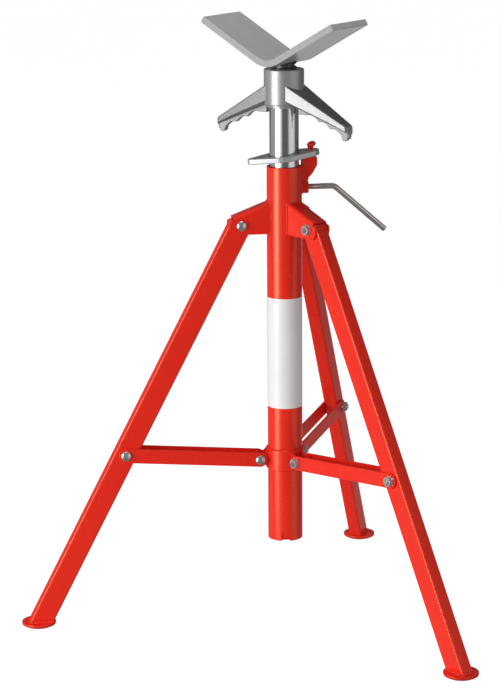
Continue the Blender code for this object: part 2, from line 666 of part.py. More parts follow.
def threaded_rod(name, low, high):
    """A screw thread: four corners a pitch, climbing one pitch in a turn, with fanned ends."""
    crest, root = SCREW_R, SCREW_R - SCREW_THREAD_DEPTH
    corners = ((0.0, root), (0.29, root), (0.5, crest), (0.79, crest))
    turns = math.ceil((high - low) / SCREW_PITCH) + 1
    rows = turns * len(corners)
    shape = bmesh.new()
    columns = []
    for k in range(ROUND_THREAD):
        angle = 2 * math.pi * k / ROUND_THREAD
        column = []
        for row in range(rows + 1):
            turn, corner = divmod(row, len(corners))
            share, r = corners[corner]
            z = low + SCREW_PITCH * (turn + share + k / ROUND_THREAD)
            column.append(shape.verts.new((r * math.cos(angle), r * math.sin(angle), z)))
        columns.append(column)
    pitch_rows = len(corners)
    for k in range(ROUND_THREAD):
        last = k == ROUND_THREAD - 1
        here, there = columns[k], columns[(k + 1) % ROUND_THREAD]
        shift = pitch_rows if last else 0
        for row in range(rows - shift):
            shape.faces.new((here[row], there[row + shift], there[row + shift + 1], here[row + 1]))
    bottom = [c[0] for c in columns] + columns[0][pitch_rows:0:-1]
    top = [c[rows] for c in columns[:-1]] + columns[-1][rows:rows - pitch_rows - 1:-1]
    for loop, z in ((bottom, low + SCREW_PITCH / 2), (top, low + SCREW_PITCH * (turns + 0.5))):
        middle = shape.verts.new((0, 0, z))
        for a, b in zip(loop, loop[1:] + loop[:1]):
            shape.faces.new((a, b, middle))
    return mesh_of(shape, name)


def v_outline(grow=0.0):
    """The bent plate's end, from its underside at z = 0: two flat wings and a round bend."""
    inner, outer = V_BEND_R, V_BEND_R + V_T + grow
    centre = (0, V_BEND_R + V_T)
    c, s = math.cos(V_SLOPE), math.sin(V_SLOPE)
    wing = (V_WING_LENGTH * c, V_WING_LENGTH * s)
    down = -math.pi / 2
    under = arc(centre, outer, down - V_SLOPE, down + V_SLOPE)
    over = arc(centre, inner, down + V_SLOPE, down - V_SLOPE)
    return ([(under[0][0] - wing[0], under[0][1] + wing[1]), *under,
             (under[-1][0] + wing[0], under[-1][1] + wing[1]),
             (over[0][0] + wing[0], over[0][1] + wing[1]), *over,
             (over[-1][0] - wing[0], over[-1][1] + wing[1])])


def make_head(swivel, steel, dark_steel):
    """The V plate and the jack screw that is coped to its underside."""
    frame = empty("head_axis", swivel, (0, 0, V_UNDERSIDE), (0, 0, V_AZIMUTH))
    plate = place("v_plate", prism("v_plate", v_outline(), -V_LENGTH / 2, V_LENGTH / 2), frame, steel)
    bevel = plate.modifiers.new("broken_edges", "BEVEL")
    bevel.width = V_T / 10
    bevel.limit_method = "ANGLE"
    bevel.angle_limit = math.radians(60)
    rise = SCREW_R * math.tan(V_SLOPE) + V_T
    foot = HEAD_GAP + NUT_HUB_TOP - SCREW_LENGTH - V_UNDERSIDE
    screw_mesh = threaded_rod("jack_screw", foot - 2 * SCREW_PITCH, rise + SCREW_PITCH)
    screw = place("jack_screw", screw_mesh, frame, dark_steel)
    under = v_outline(SEAT_GAP)
    under = under[:len(under) // 2]
    over = V_WING_LENGTH + V_T
    cope = [*under, (under[-1][0], over), (under[0][0], over)]
    cut(screw, place("jack_screw_cope", prism("jack_screw_cope", cope, -SCREW_D, SCREW_D), frame))
    below = foot - SCREW_PITCH * 8
    base = [(-SCREW_D, below), (SCREW_D, below), (SCREW_D, foot), (-SCREW_D, foot)]
    cut(screw, place("jack_screw_base", prism("jack_screw_base", base, -SCREW_D, SCREW_D), frame))


def make_stand():
    clear_scene()
    paint = finish("red_paint", (0.70, 0.045, 0.025), 0.35, 0.0)
    plated = finish("bright_plate", (0.80, 0.80, 0.80), 0.15, 1.0)
    zinc = finish("zinc", (0.62, 0.62, 0.60), 0.35, 1.0)
    cast = finish("cast_aluminium", (0.66, 0.66, 0.65), 0.40, 1.0)
    grey = finish("grey_steel", (0.32, 0.32, 0.31), 0.50, 0.8)
    dark = finish("dark_steel", (0.12, 0.12, 0.12), 0.45, 0.9)
    bar = finish("bare_bar", (0.25, 0.22, 0.20), 0.45, 0.9)
    stand = empty("stand", None, (MAST_X, 0, 0))
    make_mast(stand, paint)
    frames = []
    for number in range(1, LEG_COUNT + 1):
        azimuth = FIRST_LEG_AZIMUTH + 2 * math.pi * (number - 1) / LEG_COUNT
        frame = empty(f"leg_frame_{number}", stand, (0, 0, 0), (0, 0, azimuth))
        frames.append(frame)
        make_bracket(number, frame, paint, zinc)
        make_leg(number, frame, paint, zinc)
        make_braces(number, frame, paint, zinc)
    make_collar(frames, stand, paint, zinc)
    make_post(stand, plated)
    make_lock(stand, paint, plated)
    make_clamp(stand, paint, bar)
    swivel = empty("head_swivel", stand)
    washer = ring("thrust_washer", POST_R, SCREW_R + THREAD_GAP, NUT_SHOULDER - SEAT_GAP - WASHER_T,
                  NUT_SHOULDER - SEAT_GAP)
    place("thrust_washer", washer, swivel, zinc)
    make_jack_nut(swivel, cast)
    make_head(swivel, grey, dark)


make_stand()
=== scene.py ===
"""Looks of the pipe support stand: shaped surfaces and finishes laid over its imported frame.

Metres in the frame's own axes, +Z up. The mast stands at MAST_X. A leg's own axes run out along its bearing,
sideways along its pivot bolt, and up.
"""

import json
import math

import bmesh
import bpy
import numpy as np
from mathutils import Matrix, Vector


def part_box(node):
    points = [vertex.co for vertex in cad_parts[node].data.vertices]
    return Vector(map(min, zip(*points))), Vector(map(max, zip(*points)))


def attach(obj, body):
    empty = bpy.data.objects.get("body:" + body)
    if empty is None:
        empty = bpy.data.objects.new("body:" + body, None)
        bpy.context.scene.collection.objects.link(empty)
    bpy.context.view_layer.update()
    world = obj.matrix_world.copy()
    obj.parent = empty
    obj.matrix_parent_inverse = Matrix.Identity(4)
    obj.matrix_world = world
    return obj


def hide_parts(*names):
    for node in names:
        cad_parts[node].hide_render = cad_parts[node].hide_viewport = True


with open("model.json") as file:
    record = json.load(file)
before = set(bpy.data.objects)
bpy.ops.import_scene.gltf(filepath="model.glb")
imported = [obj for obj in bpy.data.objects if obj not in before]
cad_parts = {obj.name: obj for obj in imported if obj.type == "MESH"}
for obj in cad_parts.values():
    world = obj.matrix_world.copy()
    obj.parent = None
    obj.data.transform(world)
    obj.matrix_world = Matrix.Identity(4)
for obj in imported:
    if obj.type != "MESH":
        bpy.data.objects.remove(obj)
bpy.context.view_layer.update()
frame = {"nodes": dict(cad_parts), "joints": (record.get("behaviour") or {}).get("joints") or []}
JOINTS = {joint["name"]: joint for joint in frame["joints"]}
MM = 0.001


def node_box(name):
    """A solid's low and high corners."""
    return [np.array(corner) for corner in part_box(name)]


# Places and sizes read from the frame
MAST_X = JOINTS["head_swivel"]["pos_m"][0]
MAST_FOOT = np.array([MAST_X, 0.0, 0.0])
MAST_LOW, MAST_HIGH = node_box("mast_tube")
MAST_R = (MAST_HIGH[1] - MAST_LOW[1]) / 2
POST_LOW, POST_HIGH = node_box("inner_post")
POST_R = (POST_HIGH[1] - POST_LOW[1]) / 2
COLLAR_LOW, COLLAR_HIGH = node_box("brace_collar")
COLLAR_Z = (COLLAR_LOW[2] + COLLAR_HIGH[2]) / 2
COLLAR_HALF = (COLLAR_HIGH[2] - COLLAR_LOW[2]) / 2
FOOT_LOW, FOOT_HIGH = node_box("foot_1")
FOOT_TOP = FOOT_HIGH[2]
FOOT_R = (FOOT_HIGH[1] - FOOT_LOW[1]) / 2
PIVOT_R = MAST_X - JOINTS["leg_1_fold"]["pos_m"][0]
PIVOT_Z = JOINTS["leg_1_fold"]["pos_m"][2]
BRACE_END = sum(node_box("brace_pin_1")) / 2
BRACE_END_R = MAST_X - BRACE_END[0]
LEG_LEAN = math.atan2(BRACE_END_R - PIVOT_R, PIVOT_Z - BRACE_END[2])
CLAMP_Z = JOINTS["clamp_turn"]["pos_m"][2]
RING_PIVOT_X = JOINTS["ring_lift"]["pos_m"][0] - MAST_X
RING_PIVOT_Z = JOINTS["ring_lift"]["pos_m"][2]
HUB_TOP = node_box("jack_nut")[1][2]
SCREW_LOW, SCREW_HIGH = node_box("jack_screw")

# Sizes of the pieces, most of them shared with the solids
MAST_WALL = 3.0 * MM
POST_WALL = 2.6 * MM
STOP_TAB_W, STOP_TAB_H = 12.0 * MM, 15.0 * MM
STOP_TAB_BEND, STOP_TAB_AZIMUTH = math.radians(16), math.radians(-99)
STOP_SLIT = 0.25 * MM
LEG_DEPTH, LEG_W, LEG_WALL, LEG_CORNER = 32.0 * MM, 20.5 * MM, 2.0 * MM, 3.2 * MM
LEG_CROWN_R, LEG_FOLD, CROWN_MARGIN = 11.8 * MM, math.radians(25), math.radians(6)
CHEEK_Y, BRACKET_T, BRACKET_BEND_R = 13.65 * MM, 3.0 * MM, 5.0 * MM
BRACKET_SLOPE, WEB_ABOVE_PIVOT, WEB_OVERHANG = math.radians(21), 15.6 * MM, 6.9 * MM
CHEEK_END_R, CHEEK_BELOW = 17.0 * MM, 13.0 * MM
COLLAR_BORE_R, COLLAR_R, COLLAR_PIN_R = 25.7 * MM, 28.4 * MM, 39.3 * MM
EAR_T, EAR_END_R, EAR_NECK = 3.0 * MM, 9.0 * MM, 2.5 * MM
STRAP_W, STRAP_T, STRAP_FACE_Y = 21.0 * MM, 3.0 * MM, 13.65 * MM
BOLT_R, BOLT_HEAD_R, BOLT_HEAD_H = 4.0 * MM, 7.4 * MM, 4.6 * MM
NUT_ACROSS, NUT_H, BOLT_TAIL, SEAT_GAP = 13.0 * MM, 6.0 * MM, 2.2 * MM, 0.3 * MM
RING_T, RING_TILT, RING_HOLE_R = 8.0 * MM, math.radians(6.8), 22.3 * MM
RING_R, RING_NOSE_R, RING_NOSE_REACH = 30.5 * MM, 17.0 * MM, 51.0 * MM
RING_TAB_R, RING_TAB_REACH = 7.0 * MM, 53.5 * MM
LUG_T, LUG_REACH, LUG_HEEL = 11.0 * MM, 47.2 * MM, 9.0 * MM
LUG_BELOW_TOP, LUG_TAPER_BELOW_TOP, LUG_TAPER_DROP = 21.2 * MM, 18.0 * MM, 12.0 * MM
LUG_WELDED_DOWN = 0.8 * MM
PEG_R, PEG_NECK_R, PEG_HEAD_R, PEG_HEAD_H = 3.5 * MM, 4.4 * MM, 6.25 * MM, 9.0 * MM
PEG_LEAN = math.radians(20)
BOSS_ACROSS, BOSS_REACH = 17.0 * MM, 34.5 * MM
CLAMP_R, CLAMP_ELBOW_X, CLAMP_ELBOW_R = 4.2 * MM, 73.0 * MM, 14.0 * MM
CLAMP_DROOP, CLAMP_ARM, CLAMP_THREAD_END = math.radians(41.5), 100.5 * MM, 52.0 * MM
HUB_R, HUB_H, LIP_R, LIP_H = 28.75 * MM, 50.4 * MM, 24.9 * MM, 4.0 * MM
SOCKET_DEPTH, SOCKET_R, NUT_BORE_R = 18.0 * MM, 21.4 * MM, 18.5 * MM
ARM_AZIMUTH, ARM_ROOT, ARM_END = math.radians(-42), HUB_R / 2, 109.0 * MM
ARM_TOP_BELOW_HUB, ARM_DROP, ARM_NOSE = 20.0 * MM, 56.6 * MM, 5.0 * MM
ARM_ROOT_H, ARM_TIP_H, ARM_ROOT_W, ARM_TIP_W = 25.3 * MM, 8.4 * MM, 47.8 * MM, 18.1 * MM
RIB_HALF, RIB_BELOW_HUB, RIB_FALL = 4.6 * MM, 63.8 * MM, 0.469
FIRST_TOOTH, TOOTH_PITCH, TOOTH_ARCH = 41.0 * MM, 18.5 * MM, 3.4 * MM
GRIP_END, GRIP_END_R, GRIP_END_BELOW_HUB = 101.4 * MM, 4.8 * MM, 96.5 * MM
SCREW_R, SCREW_PITCH, THREAD_DEPTH = 18.1 * MM, 6.35 * MM, 3.0 * MM
V_AZIMUTH, V_SLOPE, V_WING = math.radians(-45), math.radians(29.3), 105.0 * MM
V_T, V_BEND_R, V_LENGTH, HEAD_GAP = 9.5 * MM, 33.0 * MM, 90.0 * MM, 6.6 * MM
V_UNDERSIDE = HUB_TOP + HEAD_GAP

# The camera, fitted to the photograph
CAMERA_BEARING, CAMERA_DISTANCE, CAMERA_HEIGHT = math.radians(-100.959), 3.41848, 1.22020
CAMERA_AZIMUTH, CAMERA_PITCH, CAMERA_ROLL = math.radians(79.891), math.radians(13.410), math.radians(0.388)
FOCAL_PIXELS, IMAGE_LONG_SIDE, SENSOR = 2412.86, 689.0, 36.0

FLOOR_HALF = 24.0
LIGHT_AIM_Z = 0.45
UP = np.array([0.0, 0.0, 1.0])
WELD_POINTS = 1e-6


# Surfaces on grids


def unit(vectors):
    """Vectors divided by their lengths."""
    return vectors / np.linalg.norm(vectors, axis=-1, keepdims=True)


def heading(bearing):
    """The level direction at a bearing: (cos, sin, 0)."""
    return np.array([math.cos(bearing), math.sin(bearing), 0.0])


def axes_at(origin, x, z=UP):
    """A local frame as four rows: its origin, and its x, y and z directions."""
    x, z = unit(np.asarray(x, float)), unit(np.asarray(z, float))
    return np.array([origin, x, np.cross(z, x), z])


def put(points, axes):
    """Local (x, y, z) points carried into the model: origin + x X + y Y + z Z."""
    return axes[0] + points @ axes[1:]


def stacked(*parts):
    """Arrays of one coordinate each, spread to one shape and joined as points."""
    return np.stack(np.broadcast_arrays(*parts), axis=-1)


def about_mast(radius, angle, z):
    """Points about the mast's axis: (mast + r cos a, r sin a, z)."""
    return stacked(MAST_X + radius * np.cos(angle), radius * np.sin(angle), z)


def surface(grid, wrap_rows=False, wrap_columns=True, capped=True):
    """A grid's points and faces. Each face joins a point to its right, diagonal and lower neighbours,
    and the first and last rows close as one face each."""
    rows, columns = grid.shape[:2]
    row = np.arange(rows if wrap_rows else rows - 1)[:, None]
    column = np.arange(columns if wrap_columns else columns - 1)
    here, below, right = row * columns, (row + 1) % rows * columns, (column + 1) % columns
    faces = stacked(here + column, here + right, below + right, below + column).reshape(-1, 4).tolist()
    if capped and not wrap_rows:
        faces.append(list(range(columns)))
        faces.append(list(range((rows - 1) * columns, rows * columns)))
    return grid.reshape(-1, 3), faces


def ring_surface(grid):
    """A surface that closes on itself both ways, such as a tube with its bore."""
    return surface(grid, wrap_rows=True)


def link(name, data):
    """A new object in the scene."""
    obj = bpy.data.objects.new(name, data)
    bpy.context.scene.collection.objects.link(obj)
    return obj


def piece(name, body, surfaces, coat, stands_for=(), sharp=38.0, soften=0.0):
    """Joins surfaces into one mesh, closes its seams, turns its faces outwards and rides it on its body."""
    first, points, faces = 0, [], []
    for grid_points, grid_faces in surfaces:
        points.append(grid_points)
        faces += [[index + first for index in face] for face in grid_faces]
        first += len(grid_points)
    mesh = bpy.data.meshes.new(name)
    mesh.from_pydata(np.concatenate(points), [], faces)
    solid = bmesh.new()
    solid.from_mesh(mesh)
    bmesh.ops.remove_doubles(solid, verts=solid.verts, dist=WELD_POINTS)
    bmesh.ops.recalc_face_normals(solid, faces=solid.faces)
    solid.to_mesh(mesh)
    solid.free()
    mesh.shade_smooth()
    mesh.set_sharp_from_angle(angle=math.radians(sharp))
    mesh.materials.append(coat)
    obj = link(name, mesh)
    if soften:
        bevel = obj.modifiers.new("broken_edges", "BEVEL")
        bevel.width = soften
        bevel.segments = 2
        bevel.limit_method = "ANGLE"
        bevel.angle_limit = math.radians(sharp)
    obj.modifiers.new("even_shading", "WEIGHTED_NORMAL").keep_sharp = not soften
    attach(obj, body)
    if stands_for:
        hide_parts(*stands_for)
    return obj


def face_rows(mesh, key):
    """One row of three numbers for each face: its normal or its middle."""
    values = np.empty(len(mesh.polygons) * 3)
    mesh.polygons.foreach_get(key, values)
    return values.reshape(-1, 3)


def give_finish(mesh, other, chosen):
    """Adds a finish to the mesh and gives it to the chosen faces."""
    slots = np.empty(len(mesh.polygons), dtype=np.int32)
    mesh.polygons.foreach_get("material_index", slots)
    slots[chosen] = len(mesh.materials)
    mesh.materials.append(other)
    mesh.polygons.foreach_set("material_index", slots)


def refinish(obj, other, axis, least, both=False):
    """Gives another finish to the faces whose normal n has n . axis over a least value, on one side or
    on both."""
    facing = face_rows(obj.data, "normal") @ axis
    give_finish(obj.data, other, (np.abs(facing) if both else facing) > least)


def refinish_core(obj, other, across, half_width):
    """Gives another finish to the faces whose middle m has |(m - mast) . across| under a half-width."""
    offset = (face_rows(obj.data, "center") - MAST_FOOT) @ across
    give_finish(obj.data, other, np.abs(offset) < half_width)


def circle(sides):
    """Even angles once round, the last one short of the first."""
    return np.arange(sides) * 2 * math.pi / sides


def arc(centre, radius, start, end, steps):
    """Points of an arc: centre + radius (cos a, sin a)."""
    angle = np.linspace(start, end, steps + 1)
    return stacked(centre[0] + radius * np.cos(angle), centre[1] + radius * np.sin(angle))


def fillet(corners, radii, steps=5):
    """Closed outlines with round corners: corner p becomes (1-s)^2 (p + t a) + 2 s (1-s) p + s^2 (p + t b),
    where a and b point to its neighbours and t is the radius over the tangent of half the corner's angle, or
    just under half the shorter side where that is less."""
    p = np.asarray(corners, float)
    a, b = np.roll(p, 1, axis=-2) - p, np.roll(p, -1, axis=-2) - p
    shorter = np.minimum(np.linalg.norm(a, axis=-1), np.linalg.norm(b, axis=-1))
    a, b = unit(a), unit(b)
    half = np.arccos(np.clip((a * b).sum(-1), -0.999999, 0.999999)) / 2
    reach = np.minimum(np.asarray(radii) / np.tan(half), 0.49 * shorter)[..., None]
    s = np.linspace(0, 1, steps + 1)[:, None]
    start, end, middle = (p + a * reach)[..., None, :], (p + b * reach)[..., None, :], p[..., None, :]
    curve = (1 - s) ** 2 * start + 2 * s * (1 - s) * middle + s**2 * end
    return curve.reshape(*p.shape[:-2], -1, 2)


def quarter_round(edge, steps):
    """A rounded edge: at angle a it is inset by edge (1 - sin a) and stands edge (1 - cos a) off its flat."""
    turn = np.linspace(0, math.pi / 2, steps + 1)
    return edge * (1 - np.sin(turn)), edge * (1 - np.cos(turn))


def plate(outline, low, high, edge):
    """A flat plate: a counter-clockwise outline carried from low to high along the third axis, with each rim
    a quarter round."""
    along = unit(np.roll(outline, -1, axis=0) - np.roll(outline, 1, axis=0))
    outwards = stacked(along[:, 1], -along[:, 0])
    inset, rise = quarter_round(edge, 4)
    inset = np.concatenate([inset, inset[::-1]])
    level = np.concatenate([low + rise, high - rise[::-1]])
    flat = outline - inset[:, None, None] * outwards
    return stacked(flat[..., 0], flat[..., 1], level[:, None])


def turned(profile, sides):
    """A profile of (radius, height) points turned about z."""
    profile = np.asarray(profile, float)
    angle = circle(sides)
    return stacked(profile[:, :1] * np.cos(angle), profile[:, :1] * np.sin(angle), profile[:, 1:])


def spaced(path, step):
    """A path resampled at even steps of its own length."""
    length = np.concatenate([[0], np.cumsum(np.linalg.norm(np.diff(path, axis=0), axis=1))])
    at = np.linspace(0, length[-1], max(4, int(length[-1] / step)))
    return np.stack([np.interp(at, length, path[:, axis]) for axis in range(3)], axis=-1)


def bead(path, outwards, radius=1.5 * MM, ripple=2.4 * MM, sides=10):
    """A weld bead: a round cord along a path, whose radius r (0.85 + 0.3 |sin(pi s / ripple)|) swells at
    every ripple. Outwards is a direction that is never along the path."""
    step = ripple / 5
    path = spaced(path, step)
    s = np.arange(len(path)) * step
    swell = radius * (0.85 + 0.3 * np.abs(np.sin(math.pi * s / ripple)))
    along = unit(np.gradient(path, axis=0))
    side = unit(np.cross(along, outwards))
    up = np.cross(side, along)
    angle = circle(sides)[:, None]
    ring = np.cos(angle) * side[:, None] + np.sin(angle) * up[:, None]
    return surface(path[:, None] + swell[:, None, None] * ring)


def on_mast(y):
    """How far out the mast's skin is at a sideways distance: the root of R^2 - y^2."""
    return np.sqrt(MAST_R**2 - np.asarray(y) ** 2)


# Finishes


def colour(hex_value):
    """An sRGB hex value as linear RGBA: c / 12.92 below 0.04045, else ((c + 0.055) / 1.055) ^ 2.4."""
    srgb = np.array([int(hex_value[i:i + 2], 16) for i in (1, 3, 5)]) / 255
    linear = np.where(srgb < 0.04045, srgb / 12.92, ((srgb + 0.055) / 1.055) ** 2.4)
    return (*linear.tolist(), 1.0)


def add(tree, kind, inputs, **settings):
    """Adds a node, sets its settings, and sets or links its inputs."""
    made = tree.nodes.new(kind)
    for key, value in settings.items():
        setattr(made, key, value)
    for key, value in inputs.items():
        if isinstance(value, bpy.types.NodeSocket):
            tree.links.new(value, made.inputs[key])
        else:
            made.inputs[key].default_value = value
    return made


def finish(name, dark, light, patch_mm, rough, grain_mm, grain_height_mm, stretch=(1, 1, 1), **sockets):
    """A Principled finish whose colour drifts between two hex values over patches of one size, and whose
    roughness and bump follow a grain of another. Stretch draws the grain out along an axis."""
    material = bpy.data.materials.new(name)
    material.use_nodes = True
    tree = material.node_tree
    shader = tree.nodes["Principled BSDF"]
    place = add(tree, "ShaderNodeTexCoord", {}).outputs["Object"]
    drawn = add(tree, "ShaderNodeMapping", {"Vector": place, "Scale": stretch}).outputs["Vector"]
    patches = add(tree, "ShaderNodeTexNoise", {"Vector": place, "Scale": 1 / (patch_mm * MM), "Detail": 3.0})
    # Inputs 6 and 7 of a colour mix are its two colours, and output 2 is the colour between them.
    mix = add(tree, "ShaderNodeMix", {"Factor": patches.outputs["Fac"], 6: colour(dark), 7: colour(light)},
              data_type="RGBA")
    tree.links.new(mix.outputs[2], shader.inputs["Base Color"])
    grain = add(tree, "ShaderNodeTexNoise", {"Vector": drawn, "Scale": 1 / (grain_mm * MM), "Detail": 4.0})
    spread = add(tree, "ShaderNodeMapRange",
                 {"Value": grain.outputs["Fac"], "To Min": rough[0], "To Max": rough[1]})
    tree.links.new(spread.outputs["Result"], shader.inputs["Roughness"])
    bump = add(tree, "ShaderNodeBump", {"Height": grain.outputs["Fac"], "Distance": grain_height_mm * MM})
    tree.links.new(bump.outputs["Normal"], shader.inputs["Normal"])
    for key, value in sockets.items():
        shader.inputs[key.replace("_", " ")].default_value = value
    return material


# Patch and grain sizes are in millimetres. The grain of plated, turned and drawn metal is finer in fact: it
# is drawn at a millimetre or more so that it shows.

# Baked enamel over steel: a hard gloss skin with faint orange peel, a little deeper where it lies thick.
RED_ENAMEL = finish("baked_red_enamel", "#E62016", "#EE2518", 60.0, (0.22, 0.30), 3.0, 0.03,
                    Metallic=0.0, Specular_IOR_Level=0.55, Specular_Tint=(1.0, 0.95, 0.58, 1.0))
# Drawn tube under bright plating: mirror-like, with fine draw lines along the tube.
BRIGHT_TUBE = finish("bright_plated_tube", "#C9CBCC", "#DADBDB", 40.0, (0.10, 0.20), 1.2, 0.012,
                     stretch=(1, 1, 0.04), Metallic=1.0)
# Plating on a pressed plate: satin and less mirror-like than on the tube, with a grain that has no direction.
BRIGHT_PLATE = finish("bright_plated_steel", "#A8AAAB", "#BABBBB", 30.0, (0.24, 0.36), 1.5, 0.02,
                      Metallic=0.4)
# Zinc plate on fasteners: pale, slightly bluish, satin.
ZINC = finish("zinc_plated_steel", "#C8CACC", "#DEDFE0", 6.0, (0.22, 0.34), 1.0, 0.02, Metallic=0.9)
# Sand-cast aluminium, tumbled: a fine pebbled skin that spreads its highlights.
CAST_ALUMINIUM = finish("cast_aluminium", "#8A8A88", "#9E9E9C", 5.0, (0.36, 0.46), 1.6, 0.10, Metallic=0.75)
# The casting's upper faces: coarser in grain, and darker in colour, which is painted shade for the shadow
# that falls on the arms' tops.
SHADED_CAST_TOP = finish("cast_aluminium_sand_skin", "#464644", "#A2A2A0", 2.2, (0.50, 0.66), 1.3, 0.16,
                   Metallic=0.3)
# Matt as-cast aluminium in the ribs, where tumbling doesn't reach: an even pale grey that holds no highlight.
CAST_RIB = finish("cast_aluminium_matt", "#8E8E8C", "#B2B2B0", 2.2, (0.50, 0.66), 1.3, 0.14, Metallic=0.3)
# The same casting turned clean on the hub: finer skin, tighter highlights.
TURNED_ALUMINIUM = finish("turned_cast_aluminium", "#9E9E9C", "#ACACAA", 14.0, (0.30, 0.40), 1.0, 0.03,
                          Metallic=0.5)
# Plain steel plate with a thin grey finish: broad soft reflections and faint cloudy patches.
GREY_PLATE = finish("grey_finished_steel_plate", "#B8B8B6", "#C6C6C4", 25.0, (0.20, 0.30), 1.8, 0.02,
                    Metallic=0.1, Specular_IOR_Level=0.4)
# The plate's sheared edges: bare, darker and duller than its rolled faces.
SHEARED_EDGE = finish("sheared_steel_edge", "#949492", "#A2A2A0", 8.0, (0.46, 0.60), 1.2, 0.05, Metallic=0.1)
# Black oxide on the cut thread: dark grey, with an oily half gloss.
BLACK_OXIDE = finish("black_oxide_steel", "#4C4C4A", "#666563", 8.0, (0.34, 0.48), 1.0, 0.02, Metallic=0.7)
# Cold-drawn bar left bare: a warm grey with a soft gloss.
DRAWN_BAR = finish("bare_cold_drawn_bar", "#CAC6C2", "#DAD6D2", 12.0, (0.16, 0.26), 1.2, 0.02, Metallic=0.8)
# White vinyl film: smooth and even, with a low gloss.
WHITE_VINYL = finish("white_vinyl_film", "#E4E4E3", "#F0F0EF", 30.0, (0.30, 0.38), 2.0, 0.01, Metallic=0.0)
# Studio floor: white matt board, lit from behind so that it stays even to the horizon.
WHITE_BOARD = finish("white_lit_board", "#9C9C9C", "#A0A0A0", 400.0, (0.85, 0.95), 4.0, 0.0, Metallic=0.0,
                     Emission_Color=(1.0, 1.0, 1.0, 1.0), Emission_Strength=0.92)


def painted(node, body, surfaces, soften=0.0):
    """A piece in red enamel, named for the solid that it stands for."""
    piece(f"{node}_painted", body, surfaces, RED_ENAMEL, [node], soften=soften)


# Mast, label and post


def make_mast():
    """A tube turned from its wall's outline. Two slits at its lower end free a tab, whose strip of wall leans
    inwards by s sin(bend) at a distance s below its fold and keeps its width: its angles grow as R / r."""
    bottom, top = MAST_LOW[2], MAST_HIGH[2]
    bore, rim, tab_set_back = MAST_R - MAST_WALL, 0.7 * MM, 0.1 * MM
    wall_columns, tab_columns, wall_rows = 121, 9, 8
    fold = bottom + STOP_TAB_H
    half_slot = (STOP_TAB_W / 2 + STOP_SLIT) / MAST_R
    around = np.linspace(half_slot, 2 * math.pi - half_slot, wall_columns)
    across = np.linspace(2 * math.pi - half_slot, 2 * math.pi + half_slot, tab_columns)
    angle = np.concatenate([around, across]) + STOP_TAB_AZIMUTH
    low = np.repeat([bottom, fold], [wall_columns, tab_columns])
    heights = np.linspace(fold, top - rim, wall_rows)
    edge = np.linspace(0, math.pi / 2, 5)
    inset, rise = rim * (1 - np.cos(edge)), top - rim + rim * np.sin(edge)
    radius = np.concatenate([np.full(1 + wall_rows, MAST_R), MAST_R - inset[1:], bore + inset[::-1][:-1],
                             np.full(3, bore)])
    level = np.concatenate([[bottom], heights, rise[1:], rise[::-1][:-1], [top - rim, fold, bottom]])
    tube = about_mast(radius[:, None], angle, np.maximum(level[:, None], low))

    s = np.linspace(0, STOP_TAB_H, 7)[:, None]
    half_tab = STOP_TAB_W / 2 / MAST_R
    turn = np.linspace(-half_tab, half_tab, tab_columns)
    wall = np.repeat([0, MAST_WALL], tab_columns)
    lean = s * math.sin(STOP_TAB_BEND)
    turn = np.concatenate([turn, turn[::-1]]) * MAST_R / (MAST_R - lean) + STOP_TAB_AZIMUTH
    tab = about_mast(MAST_R - tab_set_back - wall - lean, turn, fold - s * math.cos(STOP_TAB_BEND))
    painted("mast_tube", "mast", [ring_surface(tube), surface(tab)])


def make_label():
    """A film wrapped on the mast: rows of height, with its ends rounded by r - root(r^2 - d^2) at a distance
    d past the corner's centre."""
    low, high, half_wrap, corner = 314.5 * MM, 477.6 * MM, math.radians(95), 4.0 * MM
    film, sunk, columns = 0.12 * MM, 0.05 * MM, 61
    turn = np.linspace(-half_wrap, half_wrap, columns)
    from_end = (half_wrap - np.abs(turn)) * MAST_R
    inside = np.clip(corner - from_end, 0, corner)
    cut = corner - np.sqrt(corner**2 - inside**2)
    turn = np.concatenate([turn, turn[::-1]]) + CAMERA_BEARING
    cut = np.concatenate([cut, cut[::-1]])
    radius = MAST_R + np.repeat([film, -sunk], columns)
    share = np.linspace(0, 1, 25)[:, None]
    grid = about_mast(radius, turn, (low + cut) * (1 - share) + (high - cut) * share)
    piece("mast_label_blank", "mast", [surface(grid)], WHITE_VINYL)


def make_post():
    """A tube turned from the outline of its wall, with its upper rim rounded."""
    low, high, bore, rim = POST_LOW[2], POST_HIGH[2], POST_R - POST_WALL, 0.6 * MM
    wall = fillet([(POST_R, low), (POST_R, high), (bore, high), (bore, low)], rim)
    grid = turned(wall, 96) + MAST_FOOT
    piece("inner_post_plated", "post", [ring_surface(grid)], BRIGHT_TUBE, ["inner_post"])


# Fasteners


def bolt_surface(axes, face, tail):
    """A round-headed bolt turned about its axis: a shank from its tail to the seat, and a head whose dome is
    a quarter ellipse on a short straight rim."""
    seat, rim, chamfer = face + SEAT_GAP, BOLT_HEAD_H / 4, 0.8 * MM
    a = np.linspace(0, math.pi / 2, 12)
    dome = stacked(BOLT_HEAD_R * np.cos(a), seat + rim + (BOLT_HEAD_H - rim) * np.sin(a))
    shank = [(0, tail), (BOLT_R - chamfer, tail), (BOLT_R, tail + chamfer), (BOLT_R, seat),
             (BOLT_HEAD_R, seat)]
    return surface(put(turned(np.concatenate([shank, dome]), 40), axes), capped=False)


